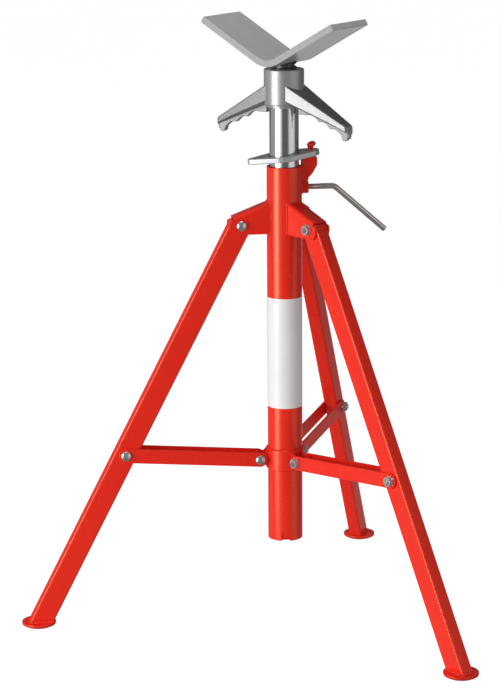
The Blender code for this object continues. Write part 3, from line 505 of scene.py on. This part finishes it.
def nut_surfaces(axes, face):
    """A lock nut on the far face, seen along -z: a toothed washer whose rim r (1 + h cos(n a)) carries n
    teeth, a hexagon with its corners turned off, and the bolt's end standing in it."""
    seat = -face - SEAT_GAP
    teeth, tooth_share, washer_r, washer_t, washer_edge = 10, 0.11, 7.9 * MM, 1.4 * MM, 0.3 * MM
    angle = circle(120)
    rim = washer_r * (1 + tooth_share * np.cos(teeth * angle))
    radii = np.stack([0 * rim, rim - washer_edge, rim, rim - washer_edge, 0 * rim])
    level = np.array([0, 0, -0.5, -1, -1])[:, None] * washer_t
    washer = stacked(radii * np.cos(angle), radii * np.sin(angle), seat + level)

    corner_share, face_share, corner_drop, face_drop = 1.02, 0.8, 1.2 * MM, 0.2 * MM
    turn = circle(96)
    corner = np.mod(turn, math.pi / 3) - math.pi / 6
    flat = NUT_ACROSS / 2 / np.cos(corner)
    low, high = seat - washer_t, seat - NUT_H
    turned_off = np.minimum(flat, NUT_ACROSS / 2 * corner_share)
    hexagon = np.stack([0 * flat, flat, flat, turned_off, turned_off * face_share, 0 * flat])
    heights = np.array([low, low, high + corner_drop, high + face_drop, high, high])[:, None]
    body = stacked(hexagon * np.cos(turn), hexagon * np.sin(turn), heights)

    end, chamfer, end_share = high - BOLT_TAIL, 0.8 * MM, 0.75
    tip = [(BOLT_R, end + chamfer), (BOLT_R * end_share, end), (0, end)]
    stub = turned([(0, high), (BOLT_R, high), *tip], 32)
    return [surface(put(grid, axes), capped=False) for grid in (washer, body, stub)]


# Tripod


def bracket_grid(axes, half_width, web, bend):
    """A channel over the leg as a sheet. Its columns run up one cheek, round a bend, over the web and down
    again, and each row is a straight line from the mast to the free end. The web lies along the slope; a
    cheek's free end is the arc round its bolt, then a line to the web's end."""
    c, s = math.cos(BRACKET_SLOPE), math.sin(BRACKET_SLOPE)

    def on_slope(along, above):
        """The (x, z) points that lie along the slope from the pivot, and above it."""
        return stacked(PIVOT_R + along * c + above * s, PIVOT_Z - along * s + above * c)

    def at_mast(x, above):
        """The points above the slope that stand at a distance x out."""
        return on_slope((x - PIVOT_R - above * s) / c, above)

    web_columns, arc_top = 4, math.radians(20)
    turn = np.linspace(0, math.pi / 2, 7)
    over = np.linspace(half_width - bend, 0, web_columns + 1)[1:]
    y = np.concatenate([half_width - bend + bend * np.cos(turn), over])
    above = np.concatenate([web - bend + bend * np.sin(turn), np.full(web_columns, web)])
    web_start, web_end = at_mast(on_mast(y), above), on_slope(WEB_OVERHANG, above)
    lower = -math.asin(CHEEK_BELOW / CHEEK_END_R)
    end = np.concatenate([arc((PIVOT_R, PIVOT_Z), CHEEK_END_R, lower, arc_top, 14), web_end[:1]])
    share = np.linspace(0, 1, len(end))[:, None]
    bottom = np.array([web_start[0, 0], PIVOT_Z - CHEEK_BELOW])
    start = bottom * (1 - share) + web_start[0] * share
    start, end = np.concatenate([start[:-1], web_start]), np.concatenate([end[:-1], web_end])
    y = np.concatenate([np.full(len(share) - 1, half_width), y])
    start, end = np.concatenate([start, start[-2::-1]]), np.concatenate([end, end[-2::-1]])
    y = np.concatenate([y, -y[-2::-1]])
    v = np.linspace(0, 1, 6)[:, None]
    lines = start[:, None] * (1 - v) + end[:, None] * v
    return put(stacked(lines[..., 0], y[:, None], lines[..., 1]), axes)


def make_bracket(number, axes):
    """The channel's outer and inner sheets closed into one shell, welded to the mast along its first line."""
    outer = bracket_grid(axes, CHEEK_Y, WEB_ABOVE_PIVOT, BRACKET_BEND_R)
    inner = bracket_grid(axes, CHEEK_Y - BRACKET_T, WEB_ABOVE_PIVOT - BRACKET_T, BRACKET_BEND_R - BRACKET_T)
    shell = np.concatenate([outer, inner[:, ::-1]], axis=1)
    out_and_up = axes[1] + 0.3 * axes[3]
    seam = bead(outer[:, 0], out_and_up)
    painted(f"leg_bracket_{number}", "mast", [surface(shell), seam], soften=0.5 * MM)


def rounded_section(depth, width, corner):
    """A rectangle about its middle, with round corners."""
    x, y = depth / 2, width / 2
    return fillet([(x, -y), (x, y), (-x, y), (-x, -y)], corner, 6)


def make_leg(number, axes):
    """A rectangular tube: its section carried from the level cut over the foot up to the crown about the
    pivot. At a distance x across the leg, the crown stands root(R^2 - x^2) above the pivot, or lower where
    the bracket's web passes it: the least of (r - x cos a) / sin a over the angles a that the fold turns
    through. Returns the outline of the level cut."""
    c, s = math.cos(LEG_LEAN), math.sin(LEG_LEAN)
    pivot = put(np.array([PIVOT_R, 0, PIVOT_Z]), axes)
    leg_axes = np.array([pivot, c * axes[1] + s * axes[3], axes[2], c * axes[3] - s * axes[1]])
    spread = math.pi / 2 - BRACKET_SLOPE - LEG_LEAN
    turn = np.linspace(spread, spread + LEG_FOLD + CROWN_MARGIN, 24)[:, None]
    share = np.linspace(0, 1, 40)[:, None]
    walls = []
    for wall in (0, LEG_WALL):
        x, y = rounded_section(LEG_DEPTH - 2 * wall, LEG_W - 2 * wall, LEG_CORNER - wall).T
        crown = np.sqrt(np.maximum((LEG_DEPTH / 2 - SEAT_GAP) ** 2 - x**2, 0))
        crown = np.minimum(crown, np.min((LEG_CROWN_R - x * np.cos(turn)) / np.sin(turn), axis=0))
        level = (FOOT_TOP - PIVOT_Z - x * s) / c
        walls.append(stacked(x, y, level * (1 - share) + crown * share))
    grid = put(np.concatenate([walls[0], walls[1][::-1]]), leg_axes)
    painted(f"leg_{number}", f"leg_{number}", [ring_surface(grid)])
    return grid[0]


def make_foot(number, axes, leg_end):
    """A dished disc turned from an outline in shares of its radius and thickness, with a weld bead round the
    leg's cut end."""
    r, t, eye = FOOT_R, FOOT_TOP, 0.5 * MM
    outline = [(eye, 0), (0.8 * r, 0), (r, 0.45 * t), (r, 1.12 * t), (0.86 * r, 1.12 * t),
               (0.76 * r, 0.95 * t), (eye, 0.95 * t)]
    saucer = fillet(outline, np.array([0.1, 2, 2, 1.2, 1.2, 2, 0.1]) * MM)
    centre = put(np.array([PIVOT_R + PIVOT_Z * math.tan(LEG_LEAN), 0, 0]), axes)
    seam = bead(spaced(np.concatenate([leg_end, leg_end[:1]]), 0.4 * MM), UP, 1.6 * MM)
    painted(f"foot_{number}", f"leg_{number}", [surface(turned(saucer, 64) + centre), seam])


def make_collar(all_axes):
    """A sleeve turned from the outline of its wall, with a pair of plate ears for each leg."""
    half, lip, in_wall, ear_drop, seam_inset = COLLAR_HALF, 1.5 * MM, 0.5 * MM, 1.0 * MM, 3.0 * MM
    wall = [(COLLAR_BORE_R, -half), (COLLAR_R - lip, -half), (COLLAR_R, lip - half), (COLLAR_R, half - lip),
            (COLLAR_R - lip, half), (COLLAR_BORE_R, half)]
    sleeve = turned(fillet(wall, 0.4 * MM, 3), 96) + MAST_FOOT + COLLAR_Z * UP
    root = math.sqrt((COLLAR_BORE_R + in_wall) ** 2 - (LEG_W / 2 - EAR_T) ** 2)
    neck, shoulder = COLLAR_R + EAR_NECK, half - ear_drop
    end = arc((COLLAR_PIN_R, 0), EAR_END_R, -math.pi / 2, math.pi / 2, 18)
    back = [(neck, EAR_END_R), (root, shoulder), (root, -shoulder), (neck, -EAR_END_R)]
    outline = np.concatenate([end, back])
    seam_z = COLLAR_Z + np.linspace(seam_inset - half, half - seam_inset, 12)
    surfaces = [ring_surface(sleeve)]
    for axes in all_axes:
        for low, outer_y in ((LEG_W / 2 - EAR_T, LEG_W / 2), (-LEG_W / 2, -LEG_W / 2)):
            ear = plate(outline, low, low + EAR_T, 0.5 * MM)[..., [0, 2, 1]]
            surfaces.append(surface(put(ear + COLLAR_Z * UP, axes)))
            seam = put(stacked(math.sqrt(COLLAR_R**2 - outer_y**2), outer_y, seam_z), axes)
            surfaces.append(bead(seam, axes[2], 1.2 * MM))
    painted("brace_collar", "collar", surfaces)


def make_braces(number, axes):
    """Two flat straps with round ends, on either side of the leg and the collar's ears."""
    start = np.array([COLLAR_PIN_R, 0, COLLAR_Z])
    end = np.array([BRACE_END_R, 0, BRACE_END[2]])
    length = np.linalg.norm(end - start)
    along = (end - start) / length
    across = np.array([-along[2], 0, along[0]])
    outline = np.concatenate([arc((length, 0), STRAP_W / 2, -math.pi / 2, math.pi / 2, 20),
                              arc((0, 0), STRAP_W / 2, math.pi / 2, 3 * math.pi / 2, 20)])
    for word, low in (("head", STRAP_FACE_Y - STRAP_T), ("tail", -STRAP_FACE_Y)):
        flat = plate(outline, low, low + STRAP_T, 0.6 * MM)
        local = put(flat, np.array([start, along, across, (0, 1, 0)]))
        painted(f"brace_{number}_{word}_side", f"brace_{number}", [surface(put(local, axes))])


def make_fasteners(number, axes):
    """The three bolts of one leg, each with its head on the +y side and its nut on the other."""
    tail, brace_at = -CHEEK_Y - SEAT_GAP - NUT_H - BOLT_TAIL, (BRACE_END_R, 0, BRACE_END[2])
    places = (("leg_pivot", "mast", (PIVOT_R, 0, PIVOT_Z), CHEEK_Y, tail),
              ("collar", "collar", (COLLAR_PIN_R, 0, COLLAR_Z), STRAP_FACE_Y, tail),
              ("brace", f"brace_{number}", brace_at, STRAP_FACE_Y, STRAP_FACE_Y - STRAP_T))
    for word, body, at, face, bolt_tail in places:
        bolt_axes = axes_at(put(np.array(at), axes), axes[1], axes[2])
        bolt, nut = f"{word}_bolt_{number}", f"{word}_nut_{number}"
        nodes = [nut] + ([f"brace_tail_{number}"] if word == "brace" else [])
        piece(f"{bolt}_plated", body, [bolt_surface(bolt_axes, face, bolt_tail)], ZINC, [bolt])
        piece(f"{nut}_plated", body, nut_surfaces(bolt_axes, face), ZINC, nodes, sharp=28.0)


# Lock ring, lug, peg and clamp


def hull_reach(circles, angle):
    """How far the tight outline round some circles (x, r) on the x axis reaches at each angle: the least of
    h(t) / cos(t - angle), where h(t) is the greatest x cos t + r and the cosine isn't near nought."""
    turn, near_nought, far = circle(1440), 0.05, 1.0
    support = np.max([x * np.cos(turn) + r for x, r in circles], axis=0)
    facing = np.cos(turn - angle[:, None])
    return np.min(np.where(facing > near_nought, support / np.maximum(facing, near_nought), far), axis=1)


def make_lock_ring():
    """A plate round the post: at each angle its section runs from the hole out to the outline, with every
    edge a quarter round."""
    angle = circle(256)
    reach = hull_reach(((0, RING_R), (RING_NOSE_REACH - RING_NOSE_R, RING_NOSE_R),
                        (RING_TAB_R - RING_TAB_REACH, RING_TAB_R)), angle)
    edge_in, edge_up = quarter_round(1.4 * MM, 6)
    brim_in, brim_up = quarter_round(0.6 * MM, 6)
    half = RING_T / 2
    outer = reach - np.concatenate([edge_in, edge_in[::-1]])[:, None]
    outer_z = np.concatenate([edge_up - half, half - edge_up[::-1]])
    hole = RING_HOLE_R + np.concatenate([brim_in, brim_in[::-1]])[:, None] + 0 * angle
    hole_z = np.concatenate([half - brim_up, brim_up[::-1] - half])
    r, z = np.concatenate([outer, hole]), np.concatenate([outer_z, hole_z])[:, None]
    tilted = np.array([math.cos(RING_TILT), 0, math.sin(RING_TILT)])
    axes = axes_at((MAST_X + RING_PIVOT_X, 0, RING_PIVOT_Z), tilted, np.cross(tilted, (0, 1, 0)))
    grid = put(stacked(r * np.cos(angle) - RING_PIVOT_X, r * np.sin(angle), z), axes)
    piece("lock_ring_plated", "lock_ring", [ring_surface(grid)], BRIGHT_PLATE, ["lock_ring"])


def make_latch():
    """The lug is a plate with a drawn-in lower edge. The peg's shank and round head are turned about z, then
    lean outwards: x grows by (z - foot) tan(lean) above the head's foot."""
    in_wall, seam_drop, seam_steps = 0.4 * MM, 1.0 * MM, 6
    sag = (RING_PIVOT_X - MAST_R) * math.tan(RING_TILT)
    top = RING_PIVOT_Z - RING_T / 2 / math.cos(RING_TILT) - sag - SEAT_GAP
    foot = MAST_HIGH[2] - LUG_BELOW_TOP - LUG_WELDED_DOWN
    waist, taper_end = top - LUG_TAPER_DROP, MAST_HIGH[2] - LUG_TAPER_BELOW_TOP
    inner, heel = MAST_R - in_wall, MAST_R + LUG_HEEL
    hollow = ((heel + LUG_REACH) / 2, (waist + taper_end) / 2 - LUG_HEEL / 4)
    corners = [(inner, foot), (heel, foot), (heel, taper_end), hollow, (LUG_REACH, waist), (LUG_REACH, top),
               (inner, top)]
    outline = fillet(corners, np.array([0.8, 0.8, 2, 6, 3, 1.8, 1.5]) * MM)
    stand = axes_at(MAST_FOOT, (1, 0, 0))
    lug = plate(outline, -LUG_T / 2, LUG_T / 2, 0.7 * MM)[..., [0, 2, 1]]
    side, down = np.full(seam_steps, LUG_T / 2), np.linspace(MAST_HIGH[2] - seam_drop, foot, seam_steps)
    y = np.concatenate([side, np.linspace(LUG_T / 2, -LUG_T / 2, seam_steps), -side])
    z = np.concatenate([down, np.full(seam_steps, foot), down[::-1]])
    seam = bead(put(stacked(on_mast(y), y, z), stand), (1, 0, 0), 1.4 * MM)
    painted("latch_lug", "mast", [surface(put(lug, stand)), seam])

    ring_top = RING_PIVOT_Z + RING_T / 2
    neck_foot, head = ring_top + 0.8 * MM, ring_top + 3.4 * MM
    a = np.linspace(-math.acos(PEG_NECK_R / PEG_HEAD_R), math.pi / 2, 16)
    dome = stacked(PEG_HEAD_R * np.cos(a), head + PEG_HEAD_H / 2 * (1 + np.sin(a)))
    peg = turned(np.concatenate([[(0, top), (PEG_R, top), (PEG_R, neck_foot)], dome]), 40)
    peg[..., 0] += np.maximum(peg[..., 2] - head, 0) * math.tan(PEG_LEAN)
    axes = axes_at((MAST_X + RING_PIVOT_X, 0, 0), (1, 0, 0))
    painted("latch_peg", "mast", [surface(put(peg, axes), capped=False)])


def make_clamp():
    """A hexagon boss welded on the mast, and a bar in it: a circle carried along a straight stretch, an arc
    and a straight arm. The first stretch is threaded: its radius is r - d (1 + cos(2 pi s / p - a)) / 2."""
    in_wall, seam_out = 0.6 * MM, 0.4 * MM
    six, around = circle(6), circle(48)
    corners = BOSS_ACROSS / math.sqrt(3) * stacked(np.cos(six), np.sin(six))
    boss = plate(fillet(corners, 0.8 * MM, 3), MAST_R - in_wall, BOSS_REACH, 0.9 * MM)[..., [2, 0, 1]]
    axes = axes_at(MAST_FOOT + CLAMP_Z * UP, (1, 0, 0))
    y, z = (BOSS_ACROSS / 2 + seam_out) * np.array([np.cos(around), np.sin(around)])
    path = stacked(on_mast(y), y, z)
    seam = bead(put(np.concatenate([path, path[:1]]), axes), (1, 0, 0), 1.5 * MM)
    painted("clamp_boss", "mast", [surface(put(boss, axes)), seam])

    bend_start = CLAMP_ELBOW_X - CLAMP_ELBOW_R * math.tan(CLAMP_DROOP / 2)
    bend = arc((bend_start, -CLAMP_ELBOW_R), CLAMP_ELBOW_R, math.pi / 2, math.pi / 2 - CLAMP_DROOP, 16)
    tip = (CLAMP_ELBOW_X + CLAMP_ARM * math.cos(CLAMP_DROOP), -CLAMP_ARM * math.sin(CLAMP_DROOP))
    route = np.concatenate([[(POST_R + SEAT_GAP, 0)], bend, [tip]])
    route = spaced(stacked(route[:, 0], 0.0, route[:, 1]), 0.16 * MM)
    length = np.linalg.norm(np.diff(route, axis=0), axis=1).sum()
    s = np.linspace(0, length, len(route))
    angle = circle(28)
    pitch, depth, chamfer = 1.25 * MM, 0.75 * MM, 1.0 * MM
    threaded = (s < CLAMP_THREAD_END - POST_R)[:, None]
    groove = depth * (1 + np.cos(2 * math.pi * s[:, None] / pitch - angle)) / 2
    to_end = np.minimum(s, length - s)
    rounding = chamfer - np.sqrt(np.maximum(chamfer**2 - np.maximum(chamfer - to_end, 0) ** 2, 0))
    radius = CLAMP_R - np.where(threaded, groove, 0) - rounding[:, None]
    along = unit(np.gradient(route, axis=0))
    side = np.broadcast_to((0.0, 1.0, 0.0), along.shape)
    other = np.cross(along, side)
    ring = np.cos(angle)[:, None] * side[:, None] + np.sin(angle)[:, None] * other[:, None]
    bar = put(route[:, None] + radius[..., None] * ring, axes)
    piece("clamp_screw_bar", "clamp", [surface(bar)], DRAWN_BAR, ["clamp_screw"], sharp=60.0)


# Screw jack and V plate


def arm_sections(x):
    """An arm's section at each distance out: a flat-topped bar with a narrower rib below it. The rib's edge
    is level, then falls on a line, arched by h |sin| between its teeth, and ends in a round grip of radius r:
    z = centre - root(r^2 - d^2). Near the tip the section draws in by r - root(r^2 - d^2)."""
    share = (x - ARM_ROOT) / (ARM_END - ARM_ROOT)
    top = HUB_TOP - ARM_TOP_BELOW_HUB - share * ARM_DROP
    height = ARM_ROOT_H + share * (ARM_TIP_H - ARM_ROOT_H)
    half = (ARM_ROOT_W + share * (ARM_TIP_W - ARM_ROOT_W)) / 2
    past = np.maximum(x - FIRST_TOOTH, 0)
    arch = TOOTH_ARCH * np.abs(np.sin(math.pi * past / TOOTH_PITCH))
    edge = HUB_TOP - RIB_BELOW_HUB - RIB_FALL * past + arch
    grip_z = HUB_TOP - GRIP_END_BELOW_HUB + GRIP_END_R
    grip = grip_z - np.sqrt(np.maximum(GRIP_END_R**2 - (x - GRIP_END) ** 2, 0))
    edge = np.where(np.abs(x - GRIP_END) < GRIP_END_R, np.minimum(edge, grip), edge)

    top_draw, rib_draw, least_rib, least_ledge = 0.45, 0.6, 1.5 * MM, 1.0 * MM
    in_nose = np.maximum(x - (ARM_END - ARM_NOSE), 0)
    draw = ARM_NOSE - np.sqrt(np.maximum(ARM_NOSE**2 - in_nose**2, 0))
    half = half - draw
    top = top - draw * top_draw
    under = np.maximum(top - height, edge + least_rib)
    rib = np.minimum(RIB_HALF - rib_draw * draw, half - least_ledge)
    y = np.stack([half, 0 * half, -half, -half, -rib, -rib, rib, rib, half], axis=-1)
    z = np.stack([top, top, top, under, under, edge, edge, under, under], axis=-1)

    # The top's middle is no corner: its very large radius only spaces the points there.
    ledge = half - rib
    lower, inner = np.minimum(4.2 * MM, 0.58 * ledge), np.minimum(2.6 * MM, 0.4 * ledge)
    upper, flat, tooth = 2.4 * MM + 0 * x, 2.0 + 0 * x, 1.8 * MM + 0 * x
    radii = np.stack([upper, flat, upper, lower, inner, tooth, tooth, inner, lower], axis=-1)
    return fillet(np.stack([y, z], axis=-1), radii)


def arm_grid(axes):
    """One drooping arm: its sections, read along each column from just inside the hub's wall, at root(r^2 -
    y^2), out to the tip."""
    in_wall, first_x, tip_share = 1.75 * MM, 8.0 * MM, 0.9
    x = np.linspace(first_x, ARM_END, 640)
    sections = arm_sections(x)
    column = np.arange(sections.shape[1])
    start = np.sqrt((HUB_R - in_wall) ** 2 - sections[0, :, 0] ** 2)
    share = np.concatenate([np.linspace(0, tip_share, 90), np.linspace(tip_share, 1, 24)[1:]])[:, None]
    out = start * (1 - share) + ARM_END * share
    at = (out - x[0]) / (x[1] - x[0])
    below = np.clip(at.astype(int), 0, len(x) - 2)
    part = (at - below)[..., None]
    section = sections[below, column] * (1 - part) + sections[below + 1, column] * part
    return put(stacked(out, section[..., 0], section[..., 1]), axes)


def make_jack_nut():
    """The hub is turned from the outline of its wall: a lip, a shoulder, a round upper rim, the bore and the
    post's socket. Two arms stand on it, half a turn apart."""
    bottom = HUB_TOP - HUB_H
    lip_bottom = bottom - LIP_H
    shoulder = lip_bottom + SOCKET_DEPTH
    wall = [(SOCKET_R, lip_bottom), (LIP_R, lip_bottom), (LIP_R, bottom), (HUB_R, bottom), (HUB_R, HUB_TOP),
            (NUT_BORE_R, HUB_TOP), (NUT_BORE_R, shoulder), (SOCKET_R, shoulder)]
    radii = np.array([0.4, 0.8, 0.8, 1.6, 2.0, 1.2, 0.4, 0.4]) * MM
    hub = turned(fillet(wall, radii, 6), 128) + MAST_FOOT
    piece("jack_nut_hub", "jack_nut", [ring_surface(hub)], TURNED_ALUMINIUM, ["jack_nut"])
    near, far = (axes_at(MAST_FOOT, heading(ARM_AZIMUTH + turn)) for turn in (0, math.pi))
    arms = [surface(arm_grid(near)), surface(arm_grid(far))]
    cast = piece("jack_nut_arms", "jack_nut", arms, CAST_ALUMINIUM, ["jack_nut"])
    rib_margin, upward = 0.1 * MM, 0.75
    refinish_core(cast, CAST_RIB, near[2], RIB_HALF + rib_margin)
    # The arms' upward faces take the darker finish: painted shade on their tops.
    refinish(cast, SHADED_CAST_TOP, UP, upward)


def v_under(u):
    """The V plate's underside at a distance u across it: the bend's circle, then the wing's line."""
    outer = V_BEND_R + V_T
    bend = outer - np.sqrt(np.maximum(outer**2 - u**2, 0))
    wing = outer * (1 - 1 / math.cos(V_SLOPE)) + np.abs(u) * math.tan(V_SLOPE)
    return V_UNDERSIDE + np.where(np.abs(u) < outer * math.sin(V_SLOPE), bend, wing)


def make_jack_screw():
    """A trapezoidal thread: the radius at a height z and angle a follows the share of z / pitch - a / (2 pi),
    flat on the crest and the root and straight on the flanks. Heights stop at the V plate's underside."""
    rows_per_turn, half_crest, flank_share = 14, 0.13, 0.12
    angle = circle(96)
    rows = int((SCREW_HIGH[2] - SCREW_LOW[2]) / SCREW_PITCH * rows_per_turn)
    z = np.linspace(SCREW_LOW[2], SCREW_HIGH[2], rows)[:, None]
    across = np.abs(SCREW_R * np.cos(angle - V_AZIMUTH))
    z = np.minimum(z, v_under(across) - SEAT_GAP)
    share = np.mod(z / SCREW_PITCH - angle / (2 * math.pi), 1)
    flank = np.clip((np.abs(share - 0.5) - half_crest) / flank_share, 0, 1)
    grid = about_mast(SCREW_R - THREAD_DEPTH * flank, angle, z)
    piece("jack_screw_threaded", "head", [surface(grid)], BLACK_OXIDE, ["jack_screw"],
          sharp=50.0)


def make_v_plate():
    """A bent plate carried along its valley: two straight wings, with the bend as a round corner of the
    outline on either side, and every edge broken."""
    c, s = math.cos(V_SLOPE), math.sin(V_SLOPE)
    inner, outer, tip = V_BEND_R, V_BEND_R + V_T, 1.6 * MM
    under_tip = np.array([outer * s + V_WING * c, outer * (1 - c) + V_WING * s])
    over_tip = np.array([inner * s + V_WING * c, outer - inner * c + V_WING * s])
    corners = [(0, outer - outer / c), under_tip, over_tip, (0, outer - inner / c), over_tip * (-1, 1),
               under_tip * (-1, 1)]
    outline = fillet(corners, np.array([outer, tip, tip, inner, tip, tip]), 10)
    flat = plate(outline, -V_LENGTH / 2, V_LENGTH / 2, 0.6 * MM)[..., [0, 2, 1]]
    axes = axes_at(MAST_FOOT + V_UNDERSIDE * UP, heading(V_AZIMUTH))
    bent = piece("v_plate_bent", "head", [surface(put(flat, axes))], GREY_PLATE, ["v_plate"])
    refinish(bent, SHEARED_EDGE, axes[2], 0.5, both=True)


def make_stand():
    """Every piece of the stand. The solids that stay as they are take the fasteners' finish."""
    make_mast()
    make_label()
    make_post()
    all_axes = []
    for number in (1, 2, 3):
        axis = JOINTS[f"leg_{number}_fold"]["axis"]
        axes = axes_at(MAST_FOOT, (axis[1], -axis[0], 0))
        all_axes.append(axes)
        make_bracket(number, axes)
        leg_end = make_leg(number, axes)
        make_foot(number, axes, leg_end)
        make_braces(number, axes)
        make_fasteners(number, axes)
    make_collar(all_axes)
    make_lock_ring()
    make_latch()
    make_clamp()
    make_jack_nut()
    make_jack_screw()
    make_v_plate()
    for name in ("thrust_washer", "brace_pin_1", "brace_pin_2", "brace_pin_3"):
        for slot in frame["nodes"][name].material_slots:
            slot.material = ZINC


# Camera, floor and light


def make_camera():
    """Image right is the level right turned by the roll, image up is square to it, the view is along -z."""
    ahead = heading(CAMERA_AZIMUTH)
    right = np.array([ahead[1], -ahead[0], 0.0])
    forward = math.cos(CAMERA_PITCH) * ahead - math.sin(CAMERA_PITCH) * UP
    up = np.cross(right, forward)
    image_right = math.cos(CAMERA_ROLL) * right - math.sin(CAMERA_ROLL) * up
    image_up = math.sin(CAMERA_ROLL) * right + math.cos(CAMERA_ROLL) * up
    place = MAST_FOOT + CAMERA_DISTANCE * heading(CAMERA_BEARING) + CAMERA_HEIGHT * UP
    matrix = np.eye(4)
    matrix[:3] = np.column_stack([image_right, image_up, -forward, place])
    data = bpy.data.cameras.new("photo_camera")
    data.sensor_width = SENSOR
    data.lens = SENSOR * FOCAL_PIXELS / IMAGE_LONG_SIDE
    data.clip_end = 100.0
    camera = link("photo_camera", data)
    camera.matrix_world = Matrix(matrix.tolist())
    bpy.context.scene.camera = camera


def make_floor():
    """A level board on a grid, wide enough to fill the picture."""
    side = np.linspace(-FLOOR_HALF, FLOOR_HALF, 3)
    points, faces = surface(stacked(side[:, None], side, 0.0), wrap_columns=False, capped=False)
    mesh = bpy.data.meshes.new("studio_floor")
    mesh.from_pydata(points, [], faces)
    mesh.materials.append(WHITE_BOARD)
    floor = link("studio_floor", mesh)
    # The board is a backdrop for the eye: what lies below the horizon for light and gloss is the surround.
    floor.visible_glossy = False
    floor.visible_diffuse = False


def add_light(name, degrees_right, distance, height, width, tall, watts, glossy=True):
    """A soft panel that faces the middle of the stand, hidden from the camera, and from gloss if need be. Its
    bearing is turned right of the camera as the camera sees it."""
    data = bpy.data.lights.new(name, "AREA")
    data.shape = "RECTANGLE"
    data.size, data.size_y = width, tall
    data.energy = watts
    light = link(name, data)
    place = MAST_FOOT + distance * heading(CAMERA_BEARING + math.radians(degrees_right)) + height * UP
    back = unit(place - MAST_FOOT - LIGHT_AIM_Z * UP)
    side = unit(np.cross(UP, back))
    matrix = np.eye(4)
    matrix[:3] = np.column_stack([side, np.cross(back, side), back, place])
    light.matrix_world = Matrix(matrix.tolist())
    light.visible_camera = False
    light.visible_glossy = glossy


def direction_from_camera(degrees_right, degrees_up=0.0):
    """A direction from the stand, turned right of the camera as the camera sees it, and up from level."""
    rise = math.radians(degrees_up)
    level = heading(CAMERA_BEARING + math.radians(degrees_right))
    return math.cos(rise) * level + math.sin(rise) * UP


def make_light():
    """A tall panel on the left, a small one overhead and two fills that gloss doesn't show, in a studio
    surround. The surround's strength is a sum: a dim base, and for each pale area a height that grows
    smoothly with the cosine of the angle from its middle."""
    add_light("left_panel", -54, distance=2.4, height=0.5, width=1.2, tall=2.0, watts=53.0)
    add_light("top_panel", 0, distance=0.12, height=2.75, width=0.5, tall=0.5, watts=18.0)
    add_light("front_fill", 5, distance=2.4, height=0.5, width=1.2, tall=1.5, watts=4.5, glossy=False)
    add_light("floor_bounce", 0, distance=0.001, height=0.004, width=1.6, tall=1.6, watts=3.2, glossy=False)
    world = bpy.data.worlds.new("studio_surround")
    bpy.context.scene.world = world
    world.use_nodes = True
    tree = world.node_tree
    outlook = add(tree, "ShaderNodeTexCoord", {}).outputs["Generated"]
    strength = 0.14
    # Each pale area: its middle, the cosines where it starts and where it is full, and its height.
    pale_areas = ((direction_from_camera(-42), 0.86, 0.97, 1.0),
                  (direction_from_camera(-95), 0.60, 0.95, 0.28),
                  (direction_from_camera(62), 0.80, 0.97, 0.72),
                  (direction_from_camera(172, -26), 0.86, 0.97, 0.45))
    for middle, start, full, height in pale_areas:
        facing = add(tree, "ShaderNodeVectorMath", {0: outlook, 1: middle}, operation="DOT_PRODUCT")
        share = add(tree, "ShaderNodeMapRange",
                    {"Value": facing.outputs["Value"], "From Min": start, "From Max": full, "To Max": height},
                    interpolation_type="SMOOTHSTEP")
        total = add(tree, "ShaderNodeMath", {0: strength, 1: share.outputs["Result"]}, operation="ADD")
        strength = total.outputs["Value"]
    # To the camera alone the surround is as white as the board, so no horizon shows from low down.
    seen = add(tree, "ShaderNodeLightPath", {}).outputs["Is Camera Ray"]
    shown = add(tree, "ShaderNodeMath", {0: strength, 1: seen}, operation="MAXIMUM")
    tree.links.new(shown.outputs["Value"], tree.nodes["Background"].inputs["Strength"])
    tree.nodes["Background"].inputs["Color"].default_value = colour("#FFFFFF")
    bpy.context.scene.view_settings.view_transform = "Standard"


make_camera()
make_floor()
make_light()
make_stand()
